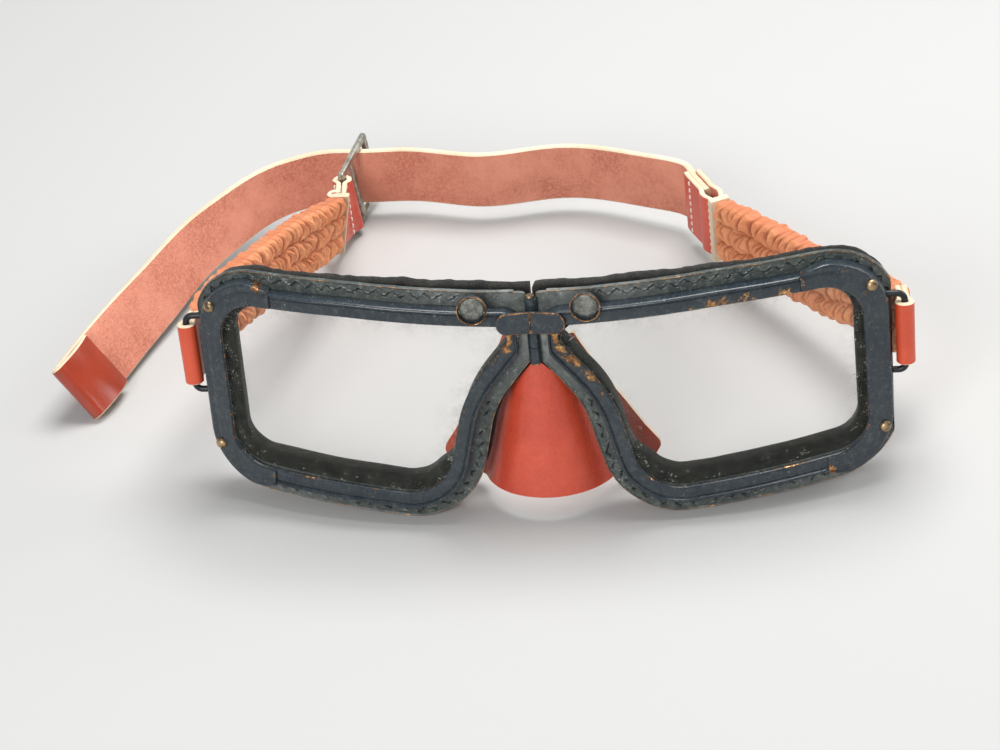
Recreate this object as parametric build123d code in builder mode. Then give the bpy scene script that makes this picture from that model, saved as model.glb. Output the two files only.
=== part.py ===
from build123d import *
import os
from math import asin, cos, degrees, radians, sin, sqrt, tan

os.makedirs("parts", exist_ok=True)

# Two-lens flying goggles, standing on the lower edge of the frame and on the buckle.
# X runs across the face, Y from the front to the back of the head, Z up.
# The hinge pin stands in the plane X = 0 and the floor is Z = 0.

# Front of the frame: each half is a piece of one upright cylinder that leans back.
lean_deg = 8.0
front_radius = 160.0
front_apex_x = 24.0
front_y = -5.5

# Lens opening of one half, from the nose to the temple
half_bridge = 6.6
opening_width = 80.6
opening_height = 55.6
opening_low = 2.6
# corners of the opening: share of the width, share of the height, radius as a share of the height
opening_corner_shares = [
    (0.008, 0.906, 0.025),
    (0.538, 0.975, 2.700),
    (0.990, 1.000, 0.200),
    (1.000, 0.112, 0.180),
    (0.259, 0.000, 0.234),
    (0.166, 0.547, 0.640),
    (0.000, 0.831, 0.029),
]

# Rim: a channel of folded brass round the lens
rim_width = 4.6
rim_lip = 0.9
rim_wall = 0.7
bead_width = 0.8
bead_height = 0.5
lens_thickness = 2.4
lens_play = 0.05
lens_cover = 3.4

# Mask frame: the punched flange behind the rim, with the rolled hinge knuckles
flange_reach = 9.0
flange_lap = 1.2
flange_thickness = 0.9
notch_width = 5.5
temple_x = 94.0

# Velvet pad behind the mask frame
pad_depth = 7.4
pad_outer = 7.8
pad_inner = -1.8
pad_bevel = 2.6
pad_play = 0.05

# Hinge at the bridge
pin_radius = 0.75
pin_head_radius = 1.25
pin_head_height = 0.7
knuckle_radius = 1.4
knuckle_play = 0.05
knuckle_gap = 0.15
knuckle_low = 41.0
knuckle_length = 4.6
knuckle_count = 4
hinge_set_back = 2.6
flange_gap = 1.75
fold_deg = 8.0
fold_play_deg = 1.5

# Oval plate over the hinge, in two halves that butt when the goggles lie open
stop_plate_length = 9.2
stop_plate_height = 6.2
stop_plate_thickness = 0.8
stop_plate_middle = 54.3
stop_plate_gap = 0.05

# Stud beside the hinge
stud_x = 15.0
stud_middle = 59.3
stud_radius = 4.1
stud_wall = 0.8
stud_height = 1.5
stud_stem_radius = 0.8
stud_button_height = 0.7

# End clip at the temple and its two screws
clip_x_top = 70.0
clip_x_low = 76.0
clip_overlap = 0.3
clip_reach = 6.9
clip_wall = 0.7
clip_thickness = 0.6
screw_out = 5.4
screw_shank_radius = 0.7
screw_head_radius = 1.6
screw_head_height = 1.1
screw_angles_deg = (-30.0, 27.0)

# Wire bail at the temple, with the leather strap end that turns on it
wire_radius = 0.9
wire_bend = 2.0
bail_reach = 3.4
bail_middle = 36.0
bail_play = 0.06
bail_depth = 1.8
tab_width = 18.0
tab_leather = 1.6
tab_length = 10.0
bail_head_room = 1.4

# Leather nose guard
guard_leather = 1.2
guard_top = 45.0
guard_low = 0.6
guard_top_radius = 5.0
guard_low_radius = 17.0
guard_turn_deg = 62.0
guard_return_deg = 40.0
guard_top_return = 3.0
guard_low_return = 6.0
guard_top_wing = 4.0
guard_low_wing = 9.0
guard_top_depth = 6.4
guard_low_depth = 2.0
guard_play = 0.4
guard_turn_steps = 7
guard_return_steps = 4

# Strap at the back of the head, held on its edge by the buckle
strap_width = 19.2
strap_leather = 2.2
loop_depth = 156.6
# lower edge of the strap: share of the bail's X, share of the loop's depth
strap_route_shares = [
    (0.346, 0.876),
    (0.222, 0.928),
    (0.046, 0.975),
    (-0.082, 0.988),
    (-0.338, 0.966),
    (-0.574, 0.998),
    (-0.744, 1.000),
    (-0.882, 1.000),
    (-0.988, 0.966),
    (-1.071, 0.875),
    (-1.172, 0.694),
    (-1.252, 0.557),
    (-1.349, 0.425),
]
tail_start_share = 0.60
tail_rise_share = 0.32
tail_lean_deg = 34.0
tail_fold_length = 17.0
tail_fold_gap = 0.3
strap_stations = 40

# Slide buckle on the left
buckle_length = 22.0
buckle_height = 25.6
buckle_bar = 2.4
buckle_thickness = 1.6
buckle_tab_slot = 5.2
buckle_tilt_deg = 10.0
buckle_yaw_deg = 14.0
buckle_x_share = -0.745
buckle_round = 1.6

# Ruched sleeves over the springs: leather gathered crosswise in three rows
sleeve_rows = 3
sleeve_pitch = 6.9
sleeve_low = 3.5
sleeve_high = 3.9
sleeve_ribs = 9
sleeve_play = 0.3
spring_radius = 1.9
spring_play = 0.15
spring_end_share = 0.03
bore_end_share = 0.8 * spring_end_share
spring_spans = 4
row_sides = 8
# middle of each sleeve: share of the bail's X, share of the loop's depth, share of the bail's height
right_sleeve_shares = [
    (0.988, 0.187, 0.960),
    (0.940, 0.287, 0.860),
    (0.816, 0.415, 0.710),
    (0.642, 0.562, 0.620),
    (0.499, 0.677, 0.536),
    (0.448, 0.736, 0.423),
]
left_sleeve_shares = [
    (0.993, 0.187, 0.985),
    (0.978, 0.268, 0.960),
    (0.930, 0.383, 0.880),
    (0.860, 0.543, 0.730),
    (0.806, 0.680, 0.580),
    (0.780, 0.808, 0.413),
]

# Leather tabs at the rear ends of the sleeves
rear_tab_width = 21.0
rear_tab_thickness = 5.6
join_length = 14.0
join_slot_share = 0.5
join_play = 0.3

overrun = 30.0


def tilt(vector, angle_deg, axis=(1, 0, 0)):
    """The vector turned about an axis through the origin."""
    return Vector(vector).rotate(Axis((0, 0, 0), axis), angle_deg)


back_dir = tilt((0, 1, 0), -lean_deg)
up_dir = tilt((0, 0, 1), -lean_deg)
side_dir = Vector(1, 0, 0)

frame_low = opening_low - overrun
frame_high = opening_low + opening_height + overrun
deep = 3 * overrun
flange_front = rim_lip + lens_play + lens_thickness + lens_play
flange_back = flange_front + flange_thickness


def surface_depth(x):
    """How far the curved front lies behind the lens plane at one place."""
    return front_radius - sqrt(front_radius ** 2 - (x - front_apex_x) ** 2)


def opening_point(share_x, share_height):
    """A corner of the lens opening in the lens plane."""
    return (half_bridge + opening_width * share_x, opening_low + opening_height * share_height)


corners = [opening_point(x, height) for x, height, radius in opening_corner_shares]
corner_radii = [opening_height * radius for x, height, radius in opening_corner_shares]

with BuildSketch() as opening_sketch:
    with BuildLine():
        FilletPolyline(*corners, radius=corner_radii, close=True)
    make_face()


def outline(reach):
    """The opening's outline, grown all round by one reach."""
    with BuildSketch() as grown:
        add(opening_sketch.sketch)
        offset(amount=reach, kind=Kind.ARC)
    return grown.sketch


# the frame stands on the lower edge of its flange, below the round corner by the nose
flange_low = outline(flange_reach).bounding_box().min.Y
stand_x = outline(flange_reach).edges().filter_by(GeomType.CIRCLE).sort_by(Axis.Y)[0].arc_center.X
frame_rise = (
    (flange_back + surface_depth(stand_x)) * sin(radians(lean_deg))
    - flange_low * cos(radians(lean_deg))
)
frame_origin = Vector(0, front_y, frame_rise)

# Sketches of the frame lie in the lens plane; plans of it lie square to the hinge pin.
lens_plane = Plane(origin=frame_origin, x_dir=side_dir, z_dir=-back_dir)
plan_plane = Plane(origin=frame_origin, x_dir=side_dir, z_dir=up_dir)


def front_plane(x, height, depth=0.0):
    """A plane square to the curved front, a depth behind it."""
    angle = asin((x - front_apex_x) / front_radius)
    radius = front_radius - depth
    centre = frame_origin + side_dir * front_apex_x + back_dir * front_radius + up_dir * height
    outward = side_dir * sin(angle) - back_dir * cos(angle)
    along = side_dir * cos(angle) + back_dir * sin(angle)
    return Plane(origin=centre + outward * radius, x_dir=along, z_dir=outward)


def curved_slab(front, back):
    """A curved plate between two depths behind the front."""
    low = -2 * overrun
    with BuildPart() as slab:
        with BuildSketch(plan_plane.offset(low)):
            with Locations((front_apex_x, front_radius)):
                Circle(front_radius - front)
                Circle(front_radius - back, mode=Mode.SUBTRACT)
            with Locations((front_apex_x, 0)):
                Rectangle(front_radius * 1.5, front_radius, mode=Mode.INTERSECT)
        extrude(amount=opening_height + 4 * overrun)
    return slab.part


def ring(inner, outer, front, back):
    """A curved ring round the opening, between two reaches and two depths."""
    with BuildPart() as body:
        with BuildSketch(lens_plane.offset(overrun)):
            add(outline(outer))
            add(outline(inner), mode=Mode.SUBTRACT)
        extrude(amount=-3 * overrun)
        add(curved_slab(front, back), mode=Mode.INTERSECT)
    return body.part


def upright_block(x_low, x_high, low, high, depth_low, depth_high):
    """A block square to the lens plane."""
    with BuildPart() as body:
        with BuildSketch(lens_plane.offset(-depth_low)):
            with Locations(((x_low + x_high) / 2, (low + high) / 2)):
                Rectangle(x_high - x_low, high - low)
        extrude(amount=depth_low - depth_high)
    return body.part


def temple_end():
    """The temple end of the frame, beyond the slanting edge of the end clip."""
    with BuildPart() as body:
        with BuildSketch(lens_plane.offset(overrun)):
            Polygon(
                (clip_x_low, opening_low),
                (clip_x_low, frame_low),
                (clip_x_low + deep, frame_low),
                (clip_x_low + deep, frame_high),
                (clip_x_top, frame_high),
                (clip_x_top, opening_low + opening_height),
                align=None,
            )
        extrude(amount=-2 * deep)
    return body.part


# RIM
# A lip in front of the lens, a wall round its edge and a raised bead that ends at the end clip.
with BuildPart() as rim:
    add(ring(0, rim_width, 0, rim_lip))
    add(ring(rim_width - rim_wall, rim_width, 0, flange_front))

with BuildPart() as rim_bead:
    add(ring(rim_width - bead_width, rim_width, -bead_height, rim_lip / 2))
    add(temple_end(), mode=Mode.SUBTRACT)

with BuildPart() as right_rim:
    add(rim.part)
    add(rim_bead.part)

# LENS
# A curved laminated pane that lies in the rim's channel.
with BuildPart() as right_lens:
    with BuildSketch(lens_plane.offset(overrun)):
        add(outline(lens_cover))
    extrude(amount=-deep)
    lens_front = rim_lip + lens_play
    add(curved_slab(lens_front, lens_front + lens_thickness), mode=Mode.INTERSECT)

# HINGE LINE
# The pin stands behind the front, in the plane of symmetry.
pin_depth = surface_depth(0) + hinge_set_back
hinge_plane = Plane(
    origin=frame_origin + back_dir * pin_depth,
    x_dir=side_dir,
    z_dir=up_dir,
)
knuckle_pitch = knuckle_length + knuckle_gap
knuckle_high = knuckle_low + knuckle_count * knuckle_pitch - knuckle_gap

with BuildPart() as hinge_pin:
    with BuildSketch(hinge_plane.offset(knuckle_low - pin_head_height)):
        Circle(pin_head_radius)
    extrude(amount=pin_head_height - knuckle_play)
    with BuildSketch(hinge_plane.offset(knuckle_low - pin_head_height)):
        Circle(pin_radius)
    extrude(amount=knuckle_high - knuckle_low + 2 * pin_head_height)
    with BuildSketch(hinge_plane.offset(knuckle_high + knuckle_play)):
        Circle(pin_head_radius)
    extrude(amount=pin_head_height - knuckle_play)
    heads = hinge_pin.edges().filter_by(GeomType.CIRCLE).group_by(SortBy.RADIUS)[-1]
    ends = ShapeList([heads.sort_by(Axis.Z)[0], heads.sort_by(Axis.Z)[-1]])
    chamfer(ends, pin_head_height / 2)


leaf_start = (pin_radius + knuckle_radius) / 2
hinge_axis = Axis(hinge_plane.origin, up_dir)


def screw_holes():
    """Two holes square to the lens plane, for the end clip and the mask frame."""
    with BuildPart() as holes:
        with BuildSketch(lens_plane.offset(overrun)):
            with Locations(*screw_places):
                Circle(screw_shank_radius + knuckle_play)
        extrude(amount=-deep)
    return holes.part


# MASK FRAME
def mask_frame(side):
    """The flange behind one rim, with every second knuckle of the hinge."""
    first = 0 if side > 0 else 1
    with BuildPart() as knuckles:
        for index in range(first, knuckle_count, 2):
            foot = knuckle_low + index * knuckle_pitch
            with BuildSketch(hinge_plane.offset(foot)):
                Circle(knuckle_radius)
                Circle(pin_radius + knuckle_play, mode=Mode.SUBTRACT)
            extrude(amount=knuckle_length)
    with BuildPart() as leaves:
        for index in range(first, knuckle_count, 2):
            foot = knuckle_low + index * knuckle_pitch
            add(upright_block(leaf_start, 2 * flange_gap, foot, foot + knuckle_length, 0, deep))
        add(curved_slab(flange_front, flange_back), mode=Mode.INTERSECT)
    with BuildPart() as flange:
        add(ring(flange_lap, flange_reach, flange_front, flange_back))
        with BuildSketch(lens_plane.offset(overrun)):
            Polygon(
                (-overrun, frame_low),
                (flange_gap, frame_low),
                (flange_gap, stop_plate_middle + stop_plate_height / 2),
                (flange_gap + notch_width, frame_high - overrun + flange_reach),
                (-overrun, frame_high),
                align=None,
            )
        extrude(amount=-2 * deep, mode=Mode.SUBTRACT)
        add(upright_block(temple_x, deep * 2, frame_low, frame_high, -overrun, deep), mode=Mode.SUBTRACT)
        stem = front_plane(stud_x, stud_middle, -overrun)
        with Locations(stem):
            Cylinder(stud_stem_radius + knuckle_play, 3 * overrun, mode=Mode.SUBTRACT)
        add(screw_holes(), mode=Mode.SUBTRACT)
    with BuildPart() as whole:
        if side > 0:
            add(flange.part)
            add(leaves.part)
        else:
            mirror(flange.part, about=Plane.YZ)
            mirror(leaves.part, about=Plane.YZ)
        add(knuckles.part)
    return whole.part


temple_arcs = opening_sketch.edges().filter_by(GeomType.CIRCLE).sort_by(Axis.X)[-2:]
screw_places = []
for arc, angle in zip(temple_arcs.sort_by(Axis.Y), screw_angles_deg):
    reach = arc.radius + screw_out
    screw_places.append((
        arc.arc_center.X + reach * cos(radians(angle)),
        arc.arc_center.Y + reach * sin(radians(angle)),
    ))

with BuildPart() as right_mask_frame:
    add(mask_frame(1))

with BuildPart() as left_mask_frame:
    add(mask_frame(-1))


def guard_curve(height, inward, longer):
    """Points of one face of the nose guard in plan: round the nose, back again, then the wing."""
    share = (height - guard_low) / (guard_top - guard_low)
    radius = guard_low_radius + share * (guard_top_radius - guard_low_radius) - inward
    return_radius = guard_low_return + share * (guard_top_return - guard_low_return) + inward
    wing = guard_low_wing + share * (guard_top_wing - guard_low_wing) + longer
    depth = guard_low_depth + share * (guard_top_depth - guard_low_depth) + inward
    points = [Vector(0, depth)]
    for step in range(guard_turn_steps):
        angle = radians(guard_turn_deg) * (step + 1) / guard_turn_steps
        points.append(Vector(radius * sin(angle), depth + radius * (1 - cos(angle))))
    top_angle = radians(guard_turn_deg)
    centre = points[-1] + Vector(sin(top_angle), -cos(top_angle)) * return_radius
    for step in range(guard_return_steps):
        angle = top_angle - radians(guard_return_deg) * (step + 1) / guard_return_steps
        points.append(centre + Vector(-sin(angle), cos(angle)) * return_radius)
    last = radians(guard_turn_deg - guard_return_deg)
    points.append(points[-1] + Vector(cos(last), sin(last)) * wing)
    return points


def guard_seat():
    """The room taken out of the pad, so that the leather has play behind it."""
    with BuildPart() as seat:
        for height in (flange_low, guard_top + guard_play):
            with BuildSketch(plan_plane.offset(height)):
                points = guard_curve(height, -guard_play, overrun)
                with BuildLine():
                    Polyline(*points, (points[-1].X, deep), (0, deep), close=True)
                make_face()
        loft(ruled=True)
    return seat.part


# VELVET PAD
# A soft ring behind the mask frame; at the nose its end is cut to a wedge so that the halves can fold.
pad_front = flange_back + pad_play
pad_back = pad_front + pad_depth
wedge = tan(radians(fold_deg + fold_play_deg))
with BuildPart() as right_pad:
    add(ring(pad_inner, pad_outer, pad_front, pad_back))
    rear = right_pad.faces().filter_by(lambda face: face.geom_type == GeomType.CYLINDER)
    rear = rear.sort_by(lambda face: abs(face.radius - (front_radius - pad_back)))[0]
    chamfer(rear.edges(), pad_bevel)
    with BuildSketch(plan_plane.offset(frame_low)):
        Polygon(
            (-overrun, -overrun),
            (flange_gap, -overrun),
            (flange_gap, pin_depth + flange_thickness),
            (flange_gap + deep * wedge, pin_depth + flange_thickness + deep),
            (-overrun, deep),
            align=None,
        )
    extrude(amount=frame_high - frame_low, mode=Mode.SUBTRACT)
    wire_room = upright_block(temple_x - 2 * wire_radius, 2 * deep, frame_low, frame_high, -overrun, deep)
    add(wire_room, mode=Mode.SUBTRACT)
    add(guard_seat(), mode=Mode.SUBTRACT)
    add(guard_seat().rotate(hinge_axis, -fold_deg), mode=Mode.SUBTRACT)

# STOP PLATE
# Half of the oval plate over the hinge; it butts against its twin when the goggles are open.
with BuildPart() as right_stop_plate:
    with BuildSketch(lens_plane.offset(overrun)):
        with Locations((0, stop_plate_middle)):
            SlotOverall(2 * stop_plate_length, stop_plate_height)
            Rectangle(2 * stop_plate_gap, stop_plate_height, mode=Mode.SUBTRACT)
        with Locations((-stop_plate_length, stop_plate_middle)):
            Rectangle(2 * stop_plate_length, 2 * stop_plate_height, mode=Mode.SUBTRACT)
    extrude(amount=-deep)
    plate_back = -bead_height
    add(curved_slab(plate_back - stop_plate_thickness, plate_back), mode=Mode.INTERSECT)

# STUD
# A raised ring with a domed button whose stem goes through to the mask frame.
stud_plane = front_plane(stud_x, stud_middle, -bead_height)
with BuildPart() as right_stud_ring:
    with BuildSketch(stud_plane):
        Circle(stud_radius)
        Circle(stud_radius - stud_wall, mode=Mode.SUBTRACT)
    extrude(amount=stud_height)
    chamfer(right_stud_ring.faces().sort_by(Axis.Y)[0].edges(), stud_wall / 4)

with BuildPart() as right_stud_button:
    with BuildSketch(stud_plane):
        Circle(stud_radius - stud_wall - lens_play)
    extrude(amount=stud_button_height)
    chamfer(
        right_stud_button.faces().sort_by(Axis.Y)[0].edges(),
        length=stud_button_height * 0.4,
        length2=stud_button_height * 1.2,
    )
    with BuildSketch(stud_plane):
        Circle(stud_stem_radius)
    extrude(amount=-(bead_height + flange_back))

# END CLIP
# A cap of sheet brass over the temple end of the rim, with a skirt down to the mask frame.
with BuildPart() as right_end_clip:
    add(ring(clip_overlap, clip_reach, -clip_thickness, 0))
    add(ring(clip_reach - clip_wall, clip_reach, -clip_thickness / 2, flange_front))
    add(temple_end(), mode=Mode.INTERSECT)
    add(screw_holes(), mode=Mode.SUBTRACT)

clip_skirt_x = opening_point(1.0, 0.5)[0] + clip_reach
bar_x = clip_skirt_x + bail_reach
bar_depth = surface_depth(clip_skirt_x) + bail_depth
bar_half = tab_width / 2 + bail_head_room + wire_radius
wire_start = clip_skirt_x - clip_wall - wire_radius

bail_plane = Plane(
    origin=frame_origin + back_dir * bar_depth,
    x_dir=side_dir,
    z_dir=-back_dir,
)
with BuildPart() as right_bail:
    with BuildLine(bail_plane):
        Polyline(
            (wire_start, bail_middle - bar_half),
            (bar_x - wire_bend, bail_middle - bar_half),
            (bar_x, bail_middle - bar_half + wire_bend),
            (bar_x, bail_middle + bar_half - wire_bend),
            (bar_x - wire_bend, bail_middle + bar_half),
            (wire_start, bail_middle + bar_half),
        )
    wire_end = bail_plane.from_local_coords((wire_start, bail_middle - bar_half))
    with BuildSketch(Plane(origin=wire_end, z_dir=side_dir)):
        Circle(wire_radius)
    sweep(transition=Transition.RIGHT)

with BuildPart() as drilled_clip:
    add(right_end_clip.part)
    for height in (bail_middle - bar_half, bail_middle + bar_half):
        place = Plane(origin=bail_plane.from_local_coords((wire_start, height)), z_dir=side_dir)
        with BuildSketch(place.offset(-wire_radius)):
            Circle(wire_radius + bail_play)
        extrude(amount=overrun, mode=Mode.SUBTRACT)
right_end_clip = drilled_clip

# SCREWS
# Two domed brass screws through the end clip into the mask frame.
with BuildPart() as right_clip_screws:
    for place in screw_places:
        start = clip_thickness - surface_depth(place[0])
        with BuildSketch(lens_plane.offset(start)):
            with Locations(place):
                Circle(screw_shank_radius)
        extrude(amount=-(clip_thickness + flange_back))
        with BuildSketch(front_plane(place[0], place[1], -clip_thickness)):
            Circle(screw_head_radius)
        extrude(amount=screw_head_height)
    heads = right_clip_screws.faces().filter_by(GeomType.PLANE).group_by(SortBy.AREA)[-1]
    chamfer(heads.edges().group_by(Axis.Y)[0], screw_head_height * 0.5)

# NOSE GUARD
# One cut of leather: a cone over the nose whose wings turn out behind the pads.
with BuildPart() as guard_half:
    for height in (guard_low, guard_top):
        with BuildSketch(plan_plane.offset(height)):
            with BuildLine():
                outside = guard_curve(height, 0, 0)
                inside = guard_curve(height, guard_leather, 0)
                Polyline(*outside, *reversed(inside), close=True)
            make_face()
    loft(ruled=True)

with BuildPart() as nose_guard:
    add(guard_half.part)
    mirror(guard_half.part, about=Plane.YZ)

# STRAP ENDS
# Leather folded round the bail's bar; behind the bar its two layers lie together.
bar_middle = bail_plane.from_local_coords((bar_x, bail_middle))


def along_the_strap(x, y, height):
    """A point of the right strap side, from shares of the bail's place and the loop's depth."""
    return Vector(bar_x * x, loop_depth * y, bar_middle.Z * height)


def strap_end(first):
    """The tube on the bail and its tab, towards the sleeve's first point."""
    aim = first - bar_middle
    aim = (aim - up_dir * aim.dot(up_dir)).normalized()
    plane = Plane(origin=bar_middle - up_dir * tab_width / 2, x_dir=aim, z_dir=up_dir)
    bore = wire_radius + bail_play
    with BuildPart() as tab:
        with BuildSketch(plane):
            Circle(bore + tab_leather)
            with Locations((tab_length / 2, 0)):
                Rectangle(tab_length, 2 * tab_leather + bail_play)
            Circle(bore, mode=Mode.SUBTRACT)
            with Locations((tab_length / 2, 0)):
                Rectangle(tab_length - 2 * tab_leather, bail_play, mode=Mode.SUBTRACT)
        extrude(amount=tab_width)
    return tab.part, bar_middle + aim * tab_length, aim


upright = Vector(0, 0, 1)


def across(along):
    """The direction of a strap's width: upright, but square to the strap."""
    return (upright - along * along.Z).normalized()


def level(along):
    """The same heading in plan."""
    return Vector(along.X, along.Y, 0).normalized()


def row_points(path, row, end_share):
    """The corners of a line of straight spans inside the sleeve, in one of its rows."""
    offset_in_width = (row - (sleeve_rows - 1) / 2) * sleeve_pitch
    points = []
    for index in range(spring_spans + 1):
        share = end_share + index / spring_spans * (1 - 2 * end_share)
        points.append(path @ share + upright * offset_in_width)
    return points


def spring_rows(path, radius, end_share):
    """Many-sided rods along the sleeve's rows."""
    with BuildPart() as rods:
        for row in range(sleeve_rows):
            with BuildLine() as row_line:
                Polyline(*row_points(path, row, end_share))
            with BuildSketch(Plane(origin=row_line.line @ 0, z_dir=row_line.line % 0)):
                RegularPolygon(radius, row_sides)
            sweep(transition=Transition.RIGHT)
    return rods.part


def sleeve_form(path):
    """Leather gathered over the springs: three rows side by side, ribbed along their length."""
    stations = 2 * sleeve_ribs + 1
    with BuildPart() as leather:
        for index in range(stations):
            share = index / (stations - 1)
            heading = level(path % share)
            radius = sleeve_high if index % 2 else sleeve_low
            with BuildSketch(Plane(origin=path @ share, x_dir=upright, z_dir=heading)):
                for row in range(sleeve_rows):
                    with Locations(((row - (sleeve_rows - 1) / 2) * sleeve_pitch, 0)):
                        RegularPolygon(radius, row_sides, major_radius=False, rotation=180 / row_sides)
        loft(ruled=True)
    return leather.part


right_tab, right_tab_tip, right_aim = strap_end(along_the_strap(*right_sleeve_shares[0]))
left_tab, left_tab_tip, left_aim = strap_end(along_the_strap(*left_sleeve_shares[0]))

right_points = [along_the_strap(*shares) for shares in right_sleeve_shares]
left_points = [along_the_strap(*shares) for shares in left_sleeve_shares]
right_path = Spline(*right_points)
left_path = Spline(*left_points)

sides = {"right": (right_tab, right_path), "left": (left_tab, left_path)}
side_pieces = {}
for side_name, (tab_part, path) in sides.items():
    with BuildPart() as strap_tube:
        add(tab_part)
    with BuildPart() as sleeve:
        add(sleeve_form(path))
        add(spring_rows(path, spring_radius + spring_play, bore_end_share), mode=Mode.SUBTRACT)
    with BuildPart() as springs:
        add(spring_rows(path, spring_radius, spring_end_share))
    side_pieces[side_name] = {"strap_end": strap_tube, "sleeve": sleeve, "springs": springs}

# BUCKLE
# A pressed slide with one slot for the leather tab and a wide one for the strap.
# It stands on its lower near corner, tilted in its own plane.
strap_slot_start = 2 * buckle_bar + buckle_tab_slot
strap_slot_length = buckle_length - buckle_bar - strap_slot_start
strap_slot_middle = strap_slot_start + strap_slot_length / 2
tilt_angle = radians(buckle_tilt_deg)
strap_middle = (
    (strap_slot_middle - buckle_round) * sin(tilt_angle)
    + (buckle_height / 2 - buckle_round) * cos(tilt_angle)
    + buckle_round
)
buckle_along = tilt(tilt((0, 1, 0), buckle_tilt_deg), -buckle_yaw_deg, (0, 0, 1))
buckle_up = tilt(tilt((0, 0, 1), buckle_tilt_deg), -buckle_yaw_deg, (0, 0, 1))
buckle_side = tilt((1, 0, 0), -buckle_yaw_deg, (0, 0, 1))
buckle_x = buckle_x_share * bar_x
strap_slot_place = Vector(buckle_x, loop_depth, strap_middle)
buckle_plane = Plane(
    origin=strap_slot_place - buckle_along * strap_slot_middle,
    x_dir=buckle_along,
    z_dir=buckle_side,
)
with BuildPart() as buckle:
    with BuildSketch(buckle_plane.offset(-buckle_thickness / 2)):
        with Locations((buckle_length / 2, 0)):
            RectangleRounded(buckle_length, buckle_height, buckle_round)
        with Locations((buckle_bar + buckle_tab_slot / 2, 0)):
            Rectangle(buckle_tab_slot, buckle_height - 2 * buckle_bar, mode=Mode.SUBTRACT)
        with Locations((strap_slot_middle, 0)):
            Rectangle(strap_slot_length, buckle_height - 2 * buckle_bar, mode=Mode.SUBTRACT)
    extrude(amount=buckle_thickness)
    sides_of_plate = buckle.faces().filter_by(buckle_plane)
    chamfer(sides_of_plate.edges(), buckle_thickness / 5)

# BUCKLE TAB
# Leather round the buckle's near bar, flattened towards the left sleeve.
near_bar = buckle_plane.from_local_coords((buckle_bar / 2, 0))
loop_inner = buckle_bar / 2 + join_play
loop_outer = loop_inner + tab_leather
loop_width = buckle_height - 2 * buckle_bar - join_play
with BuildPart() as buckle_tab:
    with BuildSketch(Plane(origin=near_bar - buckle_up * loop_width / 2, x_dir=buckle_side, z_dir=buckle_up)):
        Circle(loop_outer)
    extrude(amount=loop_width)
    left_end = left_path @ 1
    left_end = Vector(-left_end.X, left_end.Y, left_end.Z)
    left_heading = left_path % 1
    left_heading = Vector(-left_heading.X, left_heading.Y, left_heading.Z)
    web_plane = Plane(
        origin=left_end + level(left_heading) * sleeve_play,
        x_dir=upright,
        z_dir=level(left_heading),
    )
    with BuildSketch(web_plane):
        Rectangle(rear_tab_width, 2 * tab_leather)
    with BuildSketch(Plane(origin=near_bar, x_dir=buckle_up, z_dir=buckle_along)):
        Rectangle(loop_width, 2 * tab_leather)
    loft(ruled=True)
    with BuildSketch(Plane(origin=near_bar - buckle_up * buckle_height, x_dir=buckle_side, z_dir=buckle_up)):
        Circle(loop_inner)
    extrude(amount=2 * buckle_height, mode=Mode.SUBTRACT)

# JOIN TAB
# Leather folded over the end of the rear strap and stitched to the right sleeve.
join_heading = level(right_path % 1)
join_plane = Plane(
    origin=right_path @ 1 + join_heading * sleeve_play - upright * rear_tab_width / 2,
    x_dir=join_heading,
    z_dir=upright,
)
join_slot = strap_leather + 2 * join_play
with BuildPart() as join_tab:
    with BuildSketch(join_plane):
        with Locations((join_length / 2, 0)):
            SlotOverall(join_length, rear_tab_thickness)
        with Locations((join_length, 0)):
            Rectangle(2 * join_slot_share * join_length, join_slot, mode=Mode.SUBTRACT)
    extrude(amount=rear_tab_width)

# REAR STRAP
# One leather strip; behind the buckle it leans outwards more and more, down to its doubled end.
strap_low = strap_middle - strap_width / 2


def strap_edge(index):
    """A point of the strap's lower edge; the tail comes down to the floor."""
    x, y = strap_route_shares[index]
    first = len(strap_route_shares) * tail_start_share
    way = max(0, index - first) / (len(strap_route_shares) - 1 - first)
    return Vector(bar_x * x, loop_depth * y, strap_low * (1 - way * (1 - tail_rise_share)))


strap_points = [strap_edge(index) for index in range(len(strap_route_shares))]
for share in (1 + join_slot_share / 2, 1, 1 - join_slot_share / 2, 1 - join_slot_share * 0.9):
    place = join_plane.from_local_coords((join_length * share, 0))
    strap_points.insert(0, Vector(place.X, place.Y, strap_low))
strap_path = Spline(*strap_points)


def strap_plane(share):
    """The strap's section at a share of its length: X through the leather, Y up its width."""
    along = strap_path % share
    lean = max(0, share - tail_start_share) / (1 - tail_start_share) * tail_lean_deg
    width = across(along).rotate(Axis((0, 0, 0), along), lean)
    return Plane(
        origin=strap_path @ share + width * strap_width / 2,
        x_dir=width.cross(along),
        z_dir=along,
    )


with BuildPart() as rear_strap:
    for index in range(strap_stations + 1):
        with BuildSketch(strap_plane(index / strap_stations)):
            Rectangle(strap_leather, strap_width)
    loft()
    tail = strap_plane(1)
    fold_radius = (strap_leather + tail_fold_gap) / 2
    tail_low = tail.origin - tail.y_dir * strap_width / 2
    fold_plane = Plane(origin=tail_low, x_dir=tail.z_dir, z_dir=tail.y_dir)
    with BuildSketch(fold_plane):
        with BuildLine():
            out = Line((0, 0), (tail_fold_length, 0))
            turn = JernArc(out @ 1, (1, 0), fold_radius, 180)
            Line(turn @ 1, (turn @ 1) - (tail_fold_length - strap_leather, 0))
        trace(line_width=strap_leather)
    extrude(amount=strap_width)

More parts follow.
